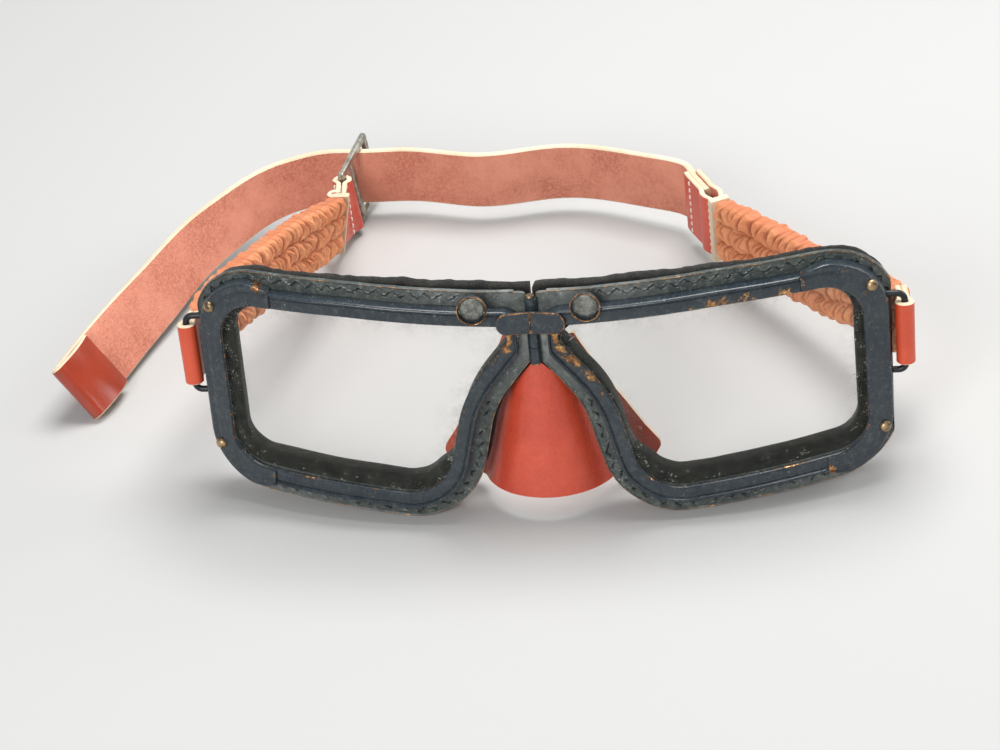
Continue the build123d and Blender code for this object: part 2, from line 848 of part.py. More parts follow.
# EXPORT
pairs = {
    "rim": right_rim,
    "lens": right_lens,
    "pad": right_pad,
    "stop_plate": right_stop_plate,
    "stud_ring": right_stud_ring,
    "stud_button": right_stud_button,
    "end_clip": right_end_clip,
    "clip_screws": right_clip_screws,
    "bail": right_bail,
}
singles = {
    "hinge_pin": hinge_pin,
    "right_mask_frame": right_mask_frame,
    "left_mask_frame": left_mask_frame,
    "nose_guard": nose_guard,
    "buckle": buckle,
    "buckle_tab": buckle_tab,
    "join_tab": join_tab,
    "rear_strap": rear_strap,
}
for name, piece in pairs.items():
    piece.part.label = "right_" + name
    export_step(piece.part, "parts/right_" + name + ".step")
    with BuildPart() as left_piece:
        mirror(piece.part, about=Plane.YZ)
    left_piece.part.label = "left_" + name
    export_step(left_piece.part, "parts/left_" + name + ".step")
for name, piece in side_pieces["right"].items():
    piece.part.label = "right_" + name
    export_step(piece.part, "parts/right_" + name + ".step")
for name, piece in side_pieces["left"].items():
    with BuildPart() as left_piece:
        mirror(piece.part, about=Plane.YZ)
    left_piece.part.label = "left_" + name
    export_step(left_piece.part, "parts/left_" + name + ".step")
for name, piece in singles.items():
    piece.part.label = name
    export_step(piece.part, "parts/" + name + ".step")
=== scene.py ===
import math

import bmesh
import bpy
import numpy as np
from mathutils import Matrix, Vector


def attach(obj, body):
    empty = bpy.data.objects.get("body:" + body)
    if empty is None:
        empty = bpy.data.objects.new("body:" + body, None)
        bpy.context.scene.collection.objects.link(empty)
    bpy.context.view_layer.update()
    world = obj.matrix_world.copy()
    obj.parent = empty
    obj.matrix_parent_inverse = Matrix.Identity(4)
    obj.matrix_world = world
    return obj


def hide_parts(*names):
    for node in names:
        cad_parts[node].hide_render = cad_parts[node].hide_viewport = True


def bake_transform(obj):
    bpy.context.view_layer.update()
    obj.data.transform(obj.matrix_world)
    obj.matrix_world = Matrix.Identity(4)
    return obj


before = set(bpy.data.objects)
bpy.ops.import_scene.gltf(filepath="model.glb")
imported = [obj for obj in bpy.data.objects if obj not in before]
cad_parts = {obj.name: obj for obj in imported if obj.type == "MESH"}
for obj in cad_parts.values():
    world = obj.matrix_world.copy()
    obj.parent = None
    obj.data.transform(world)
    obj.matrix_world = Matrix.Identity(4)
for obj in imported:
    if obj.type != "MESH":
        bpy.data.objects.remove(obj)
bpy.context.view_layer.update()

# CAMERA AND STUDIO
# The camera looks down on the goggles from the front, a little from the right. A pale table
# top, one large soft light overhead, two smaller ones and an even sky light them.
# Right and left are as seen from the front, so the right half lies at +X.
camera = bpy.data.objects.new("camera", bpy.data.cameras.new("camera"))
bpy.context.scene.collection.objects.link(camera)
bpy.context.scene.camera = camera
camera.data.sensor_width = 36.0
camera.data.lens = 96.351
turn, rise, roll, distance = 0.1712603, 0.6062065, -0.1266328, 0.7834594
aim = np.array((-0.0195757, 0.0593544, 0.0033254))
back = np.array((math.sin(turn) * math.cos(rise), -math.cos(turn) * math.cos(rise), math.sin(rise)))
level = np.cross(-back, (0, 0, 1))
level /= np.linalg.norm(level)
plumb = np.cross(back, level)
camera_right = math.cos(roll) * level + math.sin(roll) * plumb
camera_up = -math.sin(roll) * level + math.cos(roll) * plumb
stand = Matrix(np.stack((camera_right, camera_up, back), axis=1).tolist()).to_4x4()
stand.translation = aim + back * distance
camera.matrix_world = stand

bpy.context.scene.view_settings.view_transform = "Standard"
sky = bpy.data.worlds.new("sky")
bpy.context.scene.world = sky
sky.use_nodes = True
sky.node_tree.nodes["Background"].inputs["Color"].default_value = (0.93, 0.96, 1.0, 1)
sky.node_tree.nodes["Background"].inputs["Strength"].default_value = 0.42
lit_place = Vector((0, 0.06, 0))


def lamp(name, place, size, power):
    """A square soft light that faces the goggles."""
    light = bpy.data.objects.new(name, bpy.data.lights.new(name, "AREA"))
    light.data.size = size
    light.data.energy = power
    bpy.context.scene.collection.objects.link(light)
    light.location = place
    light.rotation_euler = (Vector(place) - lit_place).to_track_quat("Z", "Y").to_euler()


lamp("overhead_light", (0.10, 0.30, 0.90), 0.55, 10.5)
lamp("front_light", (-0.30, -0.95, 0.60), 0.45, 8.5)
lamp("side_light", (0.85, 0.30, 0.50), 0.45, 3.5)


def material(name):
    """A new material, its nodes and its shader."""
    made = bpy.data.materials.new(name)
    made.use_nodes = True
    return made, made.node_tree, made.node_tree.nodes["Principled BSDF"]


def fill(tree, socket, value):
    """Links a socket to another node's output, or sets it to a plain value."""
    if isinstance(value, bpy.types.NodeSocket):
        tree.links.new(value, socket)
    else:
        socket.default_value = value


def surface(tree, shader, **inputs):
    """Fills inputs of the material's shader."""
    for key, value in inputs.items():
        fill(tree, shader.inputs[key.replace("_", " ")], value)


table_paint, tree, shader = material("table_top")
surface(tree, shader, Base_Color=(0.47, 0.467, 0.455, 1), Roughness=0.9)
bpy.ops.mesh.primitive_plane_add(size=4.0, location=(0, 0.3, 0))
table = bpy.context.object
table.name = "table_top"
table.data.materials.append(table_paint)


# RIMS
# A channel of folded brass round each lens, painted slate blue-grey: a flat face, a groove and
# a raised bead that runs out under the end clip. Like every frame piece it follows the edge of
# the lens opening on a curved front that leans back. From here on sizes are in millimetres.
lean = math.radians(8)
front_radius, front_apex = 160.0, 24.0
front_foot = np.array((-5.5, 5.920))
corners = [  # x, height and radius of each corner of the right lens opening
    (7.245, 52.974, 1.39),
    (49.963, 56.810, 150.12),
    (86.394, 58.200, 11.12),
    (87.200, 8.827, 10.01),
    (27.475, 2.600, 13.01),
    (19.980, 33.013, 35.58),
    (6.600, 48.804, 1.61),
]
edge_spacing = 0.32
free_reach = -30.0


def unit(vector):
    """A direction, or rows of directions, brought to a length of 1."""
    return vector / np.linalg.norm(vector, axis=-1, keepdims=True)


def opening_edge(step):
    """Points along the opening's edge, their outward directions and the least inward reach."""
    arcs = []
    for index, (x, height, radius) in enumerate(corners):
        corner = np.array((x, height))
        before = unit(np.array(corners[index - 1][:2]) - corner)
        after = unit(np.array(corners[(index + 1) % len(corners)][:2]) - corner)
        half = math.acos(np.clip(before @ after, -1, 1)) / 2
        centre = corner + unit(before + after) * radius / math.sin(half)
        start = corner + before * radius / math.tan(half)
        end = corner + after * radius / math.tan(half)
        hollow = before[0] * after[1] - before[1] * after[0] < 0
        arcs.append((start, end, centre, radius, hollow))
    places, outward, inner = [], [], []
    for index, (start, end, centre, radius, hollow) in enumerate(arcs):
        first = math.atan2(*(start - centre)[::-1])
        turned_by = (math.atan2(*(end - centre)[::-1]) - first + math.pi) % (2 * math.pi) - math.pi
        reach = radius if hollow else radius + 8
        for share in np.linspace(0, 1, max(4, int(abs(turned_by) * reach / step)) + 1):
            angle = first + turned_by * share
            radial = np.array((math.cos(angle), math.sin(angle)))
            places.append(centre + radial * radius)
            outward.append(-radial if hollow else radial)
            inner.append(free_reach if hollow else -0.85 * radius)
        following = arcs[(index + 1) % len(arcs)][0]
        count = max(2, int(np.linalg.norm(following - end) / step))
        for share in np.arange(1, count) / count:
            places.append(end + (following - end) * share)
            outward.append(outward[-1])
            inner.append(free_reach)
    return np.array(places), np.array(outward), np.array(inner)


edge_points, edge_out, edge_inner = opening_edge(edge_spacing)
cut_line = edge_points + 6.7 * edge_out
edge_step = np.linalg.norm(np.roll(cut_line, -1, axis=0) - cut_line, axis=1)
edge_run = np.concatenate(([0], np.cumsum(edge_step)[:-1]))
edge_length = edge_step.sum()


def in_frame(x, height, behind):
    """Points at a distance behind the flat lens plane."""
    y = front_foot[0] + height * math.sin(lean) + behind * math.cos(lean)
    z = front_foot[1] + height * math.cos(lean) - behind * math.sin(lean)
    return np.stack(np.broadcast_arrays(x, y, z), axis=-1)


def behind_plane(x, depth):
    """How far a point at a depth behind the curved front lies behind the lens plane."""
    return front_radius - np.sqrt((front_radius - depth) ** 2 - (x - front_apex) ** 2)


def on_front(x, height, depth):
    """Points at a depth behind the curved front."""
    return in_frame(x, height, behind_plane(x, depth))


def band(profile, rows=slice(None), widest=None, nearest=None):
    """A grid round the opening, with a profile's pairs of reach and depth in each row.

    Beside the middle the profile, which is widest wide, is narrowed to keep nearest away from it.
    """
    places, outward = edge_points[rows], edge_out[rows]
    reach = np.maximum(profile[:, 0], edge_inner[rows][:, None])
    if nearest is not None:
        inward_share = np.maximum(0.05, -outward[:, 0])
        room = np.full(len(places), widest, dtype=float)
        closer = np.minimum(room, (places[:, 0] - nearest) / inward_share)
        room = np.where(outward[:, 0] < -0.05, closer, room)
        start = np.minimum(reach.min(), 1.2)
        shrink = np.clip((room - start) / (widest - start), 0.05, 1)[:, None]
        reach = start + (reach - start) * shrink
    x = places[:, :1] + outward[:, :1] * reach
    height = places[:, 1:] + outward[:, 1:] * reach
    return x, height, np.broadcast_to(profile[:, 1], x.shape).copy()


def shape(points, closed=False, capped=True, finish=0, **values):
    """One surface over rows of points, each of which is a section; it is closed or has caps.

    Finish is the material of the faces, or a list with the material of each column of them.
    """
    rows, columns = points.shape[:2]
    finishes = finish if isinstance(finish, list) else [finish] * columns
    faces, kinds = [], []
    for row in range(rows if closed else rows - 1):
        after = (row + 1) % rows
        for column in range(columns):
            beside = (column + 1) % columns
            faces.append((row * columns + column, row * columns + beside,
                          after * columns + beside, after * columns + column))
            kinds.append(finishes[column])
    if capped and not closed:
        faces.append(tuple(range(columns)))
        faces.append(tuple(range((rows - 1) * columns, rows * columns)))
        kinds += [finishes[-1], finishes[-1]]
    spread = {key: np.broadcast_to(value, (rows, columns)).ravel() for key, value in values.items()}
    return {"points": points.reshape(-1, 3), "faces": faces, "kinds": kinds, "values": spread}


def piece(name, shapes, finishes, body, stands_for, flip=False, smooth=32):
    """A finished piece: its surfaces in one mesh, its materials and the body that carries it.

    Its points carry how far the paint is worn, how pale it is, and a value of shade and dust: the
    painted shade in a cut or a fold, or how dusty a lens is. A body is a name, which carries the
    piece; when it is two names and the stretch that bends, these are not used and nothing carries it.
    """
    points, faces, kinds, start = [], [], [], 0
    for part in shapes:
        points.append(part["points"])
        faces += [tuple(index + start for index in face) for face in part["faces"]]
        kinds += part["kinds"]
        start += len(part["points"])
    points = np.concatenate(points) / 1000
    if flip:
        points = points * (-1, 1, 1)
    mesh = bpy.data.meshes.new(name)
    mesh.from_pydata(points.tolist(), [], faces)
    for finish in finishes:
        mesh.materials.append(finish)
    mesh.polygons.foreach_set("material_index", kinds)
    for key in ("wear", "mark", "pale"):
        values = [part["values"].get(key, np.zeros(len(part["points"]))) for part in shapes]
        attribute = mesh.attributes.new(key, "FLOAT", "POINT")
        attribute.data.foreach_set("value", np.concatenate(values).astype(np.float32))
    work = bmesh.new()
    work.from_mesh(mesh)
    bmesh.ops.recalc_face_normals(work, faces=work.faces)
    work.to_mesh(mesh)
    work.free()
    mesh.shade_smooth()
    mesh.set_sharp_from_angle(angle=math.radians(smooth))
    made = bpy.data.objects.new(name, mesh)
    bpy.context.scene.collection.objects.link(made)
    if isinstance(body, str):
        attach(made, body)
    else:
        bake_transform(made)
    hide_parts(*stands_for)
    return made


def sided(side, name, shapes, finishes, slot, *nodes, body="frame", smooth=32):
    """A piece of one side. The shapes are the right one's; the left one is their mirror image."""
    carrier = side + "_" + body if isinstance(body, str) else body
    return piece(side + "_" + name, shapes, finishes, carrier, [side + "_" + node for node in nodes],
                 flip=side == "left", smooth=smooth)


def ripple(run, seed, period):
    """Gentle uneven waves along a run, between about -1 and 1."""
    dice = np.random.default_rng(seed)
    total = np.zeros_like(run, dtype=float)
    for step in range(5):
        pace = 2 * math.pi / period * (1 + 0.37 * step) * dice.uniform(0.85, 1.15)
        total += np.sin(run * pace + dice.uniform(0, 6.3)) / (1 + 0.4 * step)
    return total / 2.2


def spots(x, height, places):
    """A soft mask round a few places, each with its x, height, radius and strength."""
    mask = np.zeros_like(x, dtype=float)
    for spot_x, spot_height, radius, strength in places:
        away = ((x - spot_x) ** 2 + (height - spot_height) ** 2) / radius ** 2
        mask = np.maximum(mask, strength * np.exp(-away))
    return mask


def bell(away, half_width):
    """1 where nothing is away, fading over a half width on either side."""
    return np.exp(-(away / half_width) ** 2)


def put(tree, kind, settings=None, **inputs):
    """A new shader node; an input is named, or numbered as in0, in1 and so on."""
    node = tree.nodes.new("ShaderNode" + kind)
    for key, value in (settings or {}).items():
        setattr(node, key, value)
    for key, value in inputs.items():
        fill(tree, node.inputs[int(key[2:]) if key.startswith("in") else key.replace("_", " ")], value)
    return node


def mixed(tree, share, first, second):
    """Two colours mixed by a share."""
    return put(tree, "Mix", {"data_type": "RGBA"}, in0=share, in6=first, in7=second).outputs[2]


def reckon(tree, sign, first, second):
    """Two values added, subtracted or multiplied."""
    operation = {"+": "ADD", "-": "SUBTRACT", "*": "MULTIPLY"}[sign]
    return put(tree, "Math", {"operation": operation}, in0=first, in1=second).outputs[0]


def carried(tree, name):
    """A value that the points of the mesh carry."""
    return put(tree, "Attribute", {"attribute_name": name}).outputs["Fac"]


def noise(tree, scale, detail, rough, stretch=None):
    """Noise in the object's own space, between 0 and 1."""
    place = put(tree, "TexCoord").outputs["Object"]
    if stretch:
        place = put(tree, "Mapping", None, Vector=place, Scale=stretch).outputs["Vector"]
    cloud = put(tree, "TexNoise", None, Vector=place, Scale=scale, Detail=detail, Roughness=rough)
    return cloud.outputs["Fac"]


def ramped(tree, value, low, high):
    """A value spread from 0 at low to 1 at high."""
    settings = {"interpolation_type": "SMOOTHSTEP"}
    return put(tree, "MapRange", settings, Value=value, From_Min=low, From_Max=high).outputs["Result"]


def bumped(tree, height, depth):
    """A bump of a depth in metres."""
    return put(tree, "Bump", None, Height=height, Distance=depth, Strength=1.0).outputs["Normal"]


def new_group(name, entry, result):
    """An empty node group with one value in and one value out."""
    group = bpy.data.node_groups.new(name, "ShaderNodeTree")
    group.interface.new_socket(entry, in_out="INPUT", socket_type="NodeSocketFloat")
    group.interface.new_socket(result, in_out="OUTPUT", socket_type="NodeSocketFloat")
    inside, outside = group.nodes.new("NodeGroupInput"), group.nodes.new("NodeGroupOutput")
    return group, inside.outputs[0], outside.inputs[0]


def given_by(tree, group, value):
    """What a node group makes of one value."""
    return put(tree, "Group", {"node_tree": group}, in0=value).outputs[0]


rubbed, wear_in, mask_out = new_group("rubbed_through", "Wear", "Mask")
patches = reckon(rubbed, "*", noise(rubbed, 520.0, 10.0, 0.8), 2.4)
rubbed.links.new(ramped(rubbed, reckon(rubbed, "+", patches, wear_in), 1.68, 1.80), mask_out)

specks, amount_in, mask_out = new_group("bright_specks", "Amount", "Mask")
dots = reckon(specks, "*", noise(specks, 2600.0, 2.0, 0.5), noise(specks, 420.0, 3.0, 0.6))
specks.links.new(ramped(specks, reckon(specks, "+", dots, amount_in), 0.42, 0.47), mask_out)


def slate(name, tone, faded_tone, dirt, rough, dots):
    """Old paint over brass, rubbed through where it is worn, with dirt, small bright specks and painted shade
    in its cuts.
    """
    made, tree, shader = material(name)
    through = given_by(tree, rubbed, carried(tree, "wear"))
    bright = given_by(tree, specks, dots)
    faded = ramped(tree, noise(tree, 90.0, 5.0, 0.65), 0.35, 0.7)
    dirty = reckon(tree, "*", ramped(tree, noise(tree, 650.0, 6.0, 0.75), 0.45, 0.75), dirt)
    thin = ramped(tree, noise(tree, 380.0, 7.0, 0.75), 0.28, 0.58)
    pale = reckon(tree, "*", carried(tree, "pale"), thin)
    paint = mixed(tree, faded, tone, faded_tone)
    paint = mixed(tree, dirty, paint, (0.16, 0.18, 0.155, 1))
    paint = mixed(tree, pale, paint, (0.30, 0.31, 0.295, 1))
    # Painted shade: near black in the stamped cuts, from the shade value that the points carry.
    paint = mixed(tree, carried(tree, "mark"), paint, (0.012, 0.012, 0.010, 1))
    paint = mixed(tree, reckon(tree, "*", bright, 0.65), paint, (0.42, 0.44, 0.40, 1))
    polished = ramped(tree, noise(tree, 600.0, 8.0, 0.75), 0.38, 0.62)
    brass = mixed(tree, polished, (0.16, 0.050, 0.022, 1), (0.60, 0.34, 0.14, 1))
    uneven = noise(tree, 300.0, 5.0, 0.7)
    gloss = put(tree, "MapRange", None, Value=uneven, To_Min=rough - 0.1, To_Max=rough + 0.16)
    height = reckon(tree, "-", noise(tree, 900.0, 6.0, 0.7), reckon(tree, "*", through, 0.8))
    surface(tree, shader, Base_Color=mixed(tree, through, paint, brass), Roughness=gloss.outputs["Result"],
            Metallic=reckon(tree, "*", through, 0.75), Normal=bumped(tree, height, 0.00006))
    return made


rim_paint = slate("rim_paint", (0.015, 0.023, 0.032, 1), (0.026, 0.036, 0.044, 1), 0.28, 0.22, 0.0)


def beyond_clip_edge(x, height, soft=1.2):
    """1 on the temple side of the end clip's two cut ends, 0 on the nose side."""
    clip_ends = np.where(height > 33, 70.5, 76.0)
    return np.clip((x - clip_ends) / soft + 0.5, 0, 1)


rim_width = 4.6
rim_nearest = 4.1
rim_profile = np.array([
    (0.0, 0.90), (0.0, 0.62), (0.06, 0.32), (0.24, 0.10), (0.55, 0.0), (1.6, 0.0), (2.9, 0.0),
    (3.10, 0.03), (3.26, 0.20), (3.40, 0.20), (3.50, -0.02), (3.66, -0.34), (3.86, -0.55),
    (4.08, -0.60), (4.30, -0.52), (4.50, -0.28), (rim_width, 0.1), (rim_width, 1.6),
    (rim_width, 3.35), (3.90, 3.35), (3.90, 0.95),
])
rim_wear = {
    "right": [(6, 50, 3.4, 0.86), (7, 46, 3.0, 0.78), (11, 42.5, 3.6, 0.72), (15, 38, 3.4, 0.66),
              (18, 32, 4.0, 0.42), (50, 57.6, 7.0, 0.62), (57, 58, 5.0, 0.6), (42, 56.8, 5.0, 0.42),
              (66, 58.6, 4.5, 0.58), (24, 20, 8.0, 0.30)],
    "left": [(6, 50, 3.4, 0.86), (7, 46.5, 2.6, 0.74), (10, 43, 2.6, 0.5), (62, 57, 9.0, 0.26),
             (21, 28, 8.0, 0.34)],
}
for side in ("right", "left"):
    x, height, depth = band(rim_profile, widest=rim_width, nearest=rim_nearest)
    bead = depth < 0
    bead_share = np.clip(0.8 + (x - 9) / 10, 0.8, 1)
    depth[bead] *= (1 - beyond_clip_edge(x, height)[bead]) * bead_share[bead]
    reach = rim_profile[:, 0]
    wear = bell(reach - 0.12, 0.16) * (0.46 + 0.20 * ripple(edge_run, 3, 30)[:, None])
    wear = np.maximum(wear, bell(reach - 4.3, 0.14) * 0.34)
    inward = np.clip(1.25 - reach / 4.2, 0, 1)
    wear = np.maximum(wear, spots(x, height, rim_wear[side]) * inward)
    channel = shape(on_front(x, height, depth), closed=True, wear=wear)
    sided(side, "rim_channel", [channel], [rim_paint], "slate_paint", "rim")


# LENSES
# A curved laminated pane that lies in each rim's channel. It is clear in the middle; dust and
# short hairs of velvet have gathered along its edge.
lens_glass, tree, shader = material("lens_glass")
near_edge = carried(tree, "mark")
bright = given_by(tree, specks, reckon(tree, "*", near_edge, 0.09))
haze = reckon(tree, "*", near_edge, ramped(tree, noise(tree, 230.0, 8.0, 0.8), 0.38, 0.72))
edge_dots = reckon(tree, "*", bright, ramped(tree, near_edge, 0.02, 0.5))
dust = reckon(tree, "+", reckon(tree, "*", edge_dots, 0.40), reckon(tree, "*", haze, 0.26))
front_only = reckon(tree, "-", 1.0, put(tree, "NewGeometry").outputs["Backfacing"])
mirror = reckon(tree, "*", put(tree, "Fresnel", None, IOR=1.5).outputs[0], front_only)
cover = reckon(tree, "+", reckon(tree, "+", dust, 0.03), reckon(tree, "*", mirror, 0.9))
glass_tone = mixed(tree, bright, (0.115, 0.125, 0.105, 1), (0.62, 0.60, 0.52, 1))
surface(tree, shader, Base_Color=glass_tone, Roughness=0.06, Alpha=cover)

lens_middle = np.array((52.0, 31.0))
lens_front, lens_back, lens_overlap = 0.95, 3.35, 3.3
lens_outline = edge_points + lens_overlap * edge_out - lens_middle
layer_shares = np.linspace(0.02, 1, 10)
for side in ("right", "left"):
    rows, dusty = [], []
    for depth, shares in ((lens_front, layer_shares), (lens_back, layer_shares[::-1])):
        for share in shares:
            flat = lens_middle + lens_outline * share
            rows.append(on_front(flat[:, 0], flat[:, 1], depth))
            dusty.append([np.clip((share - 0.62) / 0.3, 0, 1) ** 2])
    pane = shape(np.array(rows), mark=np.array(dusty))
    sided(side, "lens_pane", [pane], [lens_glass], "lens_glass", "lens", smooth=50)


# FLANGES
# The sheet-brass mask frame behind each rim. A row of zigzag cuts grips the velvet, and painted
# shade darkens the cuts. The rolled outer edge shows bare brass. Two knuckles on each half are
# rolled round the hinge pin.
flange_paint = slate("flange_paint", (0.034, 0.043, 0.044, 1), (0.060, 0.071, 0.064, 1), 0.85, 0.36, 0.05)
flange_width, flange_nearest, flange_temple = 9.0, 1.4, 94.0
flange_front, flange_sheet = 3.4, 0.9
cuts_from, cuts_to, cut_pitch, cut_middle = 4.8, 8.5, 4.4, 6.7
flange_profile = [(1.2, 0.0), (4.4, 0.0)]
flange_profile += [(reach, 0.0) for reach in np.arange(4.9, 8.45, 0.16)]
flange_profile += [(8.55, -0.10), (8.75, -0.22), (8.93, -0.12), (flange_width, 0.15),
                   (flange_width, flange_sheet), (5.0, flange_sheet), (1.2, flange_sheet)]
flange_profile = np.array(flange_profile)
flange_wear = {
    "right": [(5.5, 52, 2.2, 0.30), (8, 66, 3.0, 0.35), (72, 62, 9.0, 0.30), (80, 64, 8.0, 0.2)],
    "left": [(5.5, 52, 2.2, 0.30), (8, 66, 3.0, 0.30), (78, 66, 6.0, 0.3)],
}
flange_pale = [(2.5, 51.0, 5.5, 0.85), (4.0, 45.0, 4.0, 0.6), (6.5, 64.5, 6.0, 0.65),
               (24.0, 66.0, 9.0, 0.35), (12.0, 40.0, 5.0, 0.4), (75.0, 4.0, 12.0, 0.3)]
knuckle_foot, knuckle_pitch, pin_behind = 41.0, 4.75, 4.41
knuckle_profile = [(0.8, 0.0), (1.62, 0.0), (1.70, 0.08), (1.70, 4.56), (1.62, 4.64), (0.8, 4.64)]
knuckles = {"right": (0, 2), "left": (1, 3)}


def squared(x, height, floor):
    """The corner beside the hinge drawn out square, no nearer to the middle than a floor."""
    corner = (edge_points[:, 0] < 10) & (edge_points[:, 1] > 50)
    corner &= (edge_out[:, 0] < -0.12) & (edge_out[:, 1] > 0.12)
    longer = np.maximum(np.abs(edge_out[:, 0]), np.abs(edge_out[:, 1])) ** -0.85
    grow = np.where(corner, longer, 1)[:, None]
    x = edge_points[:, :1] + (x - edge_points[:, :1]) * grow
    height = edge_points[:, 1:] + (height - edge_points[:, 1:]) * grow
    return np.maximum(x, floor), height


def turned(origin, axis, profile, count=40, finish=0, **values):
    """A round shape: pairs of radius and height along an axis, solid or as a closed ring."""
    axis = unit(np.asarray(axis, dtype=float))
    across = unit(np.cross(axis, (0.3, 0.1, 1.0) if abs(axis[2]) < 0.9 else (1.0, 0, 0)))
    other = np.cross(axis, across)
    angles = np.linspace(0, 2 * math.pi, count, endpoint=False)
    circle = np.cos(angles)[:, None] * across + np.sin(angles)[:, None] * other
    rows = np.array([origin + axis * height + circle * radius for radius, height in profile])
    return shape(rows, finish=finish, **values)


pin_way = in_frame(0.0, 1.0, pin_behind) - in_frame(0.0, 0.0, pin_behind)
for side in ("right", "left"):
    x, height, depth = band(flange_profile, widest=flange_width, nearest=flange_nearest)
    x, height = squared(x, height, flange_nearest + 3.0 * np.clip(height - 59.0, 0, 1))
    x = np.minimum(x, flange_temple)
    reach = flange_profile[:, 0]
    run = edge_run[:, None]
    wobble = 0.5 * ripple(edge_run, 11 if side == "right" else 12, 26)[:, None]
    phase = run / (edge_length / round(edge_length / cut_pitch)) + 0.25 * wobble
    zigzag = 4 * np.abs(phase % 1 - 0.5) - 1
    middle = cut_middle + 0.2 * wobble + (0.85 + 0.35 * wobble) * zigzag + 0.12 * np.sin(run * 5.3)
    from_hinge = np.clip((x - 11.5) / 3, 0, 1) * (reach > cuts_from)
    cut = bell(reach - middle, 0.25)
    cut = cut * (0.55 + 0.65 * np.sin(run * 1.7 + 5 * wobble) + 0.3 * np.sin(run * 4.1))
    cut = np.clip(cut, 0, 1) * from_hinge * (reach < cuts_to)
    burr = bell(reach - middle - 0.42, 0.25) * from_hinge * (reach < cuts_to - 0.2)
    buckled = 0.12 * ripple(edge_run, 21, 17)[:, None] * np.clip((reach - cuts_from) / 4, 0, 1)
    stamped = np.where(depth < 0.8, 0.40 * cut - 0.20 * burr, 0)
    wear = bell(reach - 8.80, 0.12) * (reach < flange_width - 0.04)
    wear = wear * (0.80 + 0.14 * ripple(edge_run, 31, 22)[:, None])
    wear = np.maximum(wear, spots(x, height, flange_wear[side]))
    wear = np.maximum(wear, 0.16 * burr)
    punched = on_front(x, height, flange_front + depth + stamped + buckled)
    # The stamped cuts carry painted shade, near black in the paint.
    parts = [shape(punched, closed=True, wear=wear, mark=np.clip(cut * 0.9, 0, 1),
                   pale=spots(x, height, flange_pale))]
    for index in knuckles[side]:
        foot = in_frame(0.0, knuckle_foot + index * knuckle_pitch, pin_behind)
        parts.append(turned(foot, pin_way, knuckle_profile, 36, 1))
    sided(side, "flange_plate", parts, [flange_paint, rim_paint], "slate_paint", "mask_frame")


# VELVET PADS
# A padded ring of black velvet behind each flange, seamed and lumpy, pushed in where the
# nose guard lies against it. Lint and dust cling to the pile.
velvet, tree, shader = material("black_velvet")
bright = given_by(tree, specks, 0.02)
pile = reckon(tree, "+", noise(tree, 2600.0, 8.0, 0.85), noise(tree, 240.0, 3.0, 0.6))
brushed = ramped(tree, noise(tree, 260.0, 4.0, 0.7), 0.4, 0.75)
tone = mixed(tree, brushed, (0.007, 0.007, 0.0065, 1), (0.022, 0.020, 0.016, 1))
tone = mixed(tree, reckon(tree, "*", bright, 0.5), tone, (0.22, 0.20, 0.15, 1))
surface(tree, shader, Base_Color=tone, Roughness=1.0, Specular_IOR_Level=0.08, Sheen_Weight=0.55,
        Sheen_Roughness=0.35, Sheen_Tint=(0.42, 0.42, 0.40, 1), Normal=bumped(tree, pile, 0.00022))

guard_low, guard_tall = 0.6, 44.4
guard_turn_deg, wing_turn_deg = 71, 22
guard_turn, wing_turn = math.radians(guard_turn_deg), math.radians(wing_turn_deg)


def guard_bends(height, inward=0.0):
    """The guard's radius over the nose and its depth there, and its bend to a wing: radius, centre."""
    share = (height - guard_low) / guard_tall
    radius, depth = 18.9 - 13.7 * share - inward, 2.0 + 4.8 * share + inward
    back_radius = 4.4 - 1.9 * share + inward
    centre_x = radius * math.sin(guard_turn) + back_radius * math.sin(guard_turn)
    centre_depth = depth + radius * (1 - math.cos(guard_turn)) - back_radius * math.cos(guard_turn)
    return radius, depth, back_radius, centre_x, centre_depth


def guard_behind(x, height):
    """How far the nose guard's outer face lies behind the lens plane."""
    radius, depth, back_radius, centre_x, centre_depth = guard_bends(height)
    last_x = centre_x - back_radius * math.sin(wing_turn)
    last_depth = centre_depth + back_radius * math.cos(wing_turn)
    nose = depth + radius * (1 - np.sqrt(np.clip(1 - (x / radius) ** 2, 0, 1)))
    bend = centre_depth + back_radius * np.sqrt(np.clip(1 - ((centre_x - x) / back_radius) ** 2, 0, 1))
    wing = last_depth + (x - last_x) * math.tan(wing_turn)
    return np.where(x < radius * math.sin(guard_turn), nose, np.where(x < last_x, bend, wing))


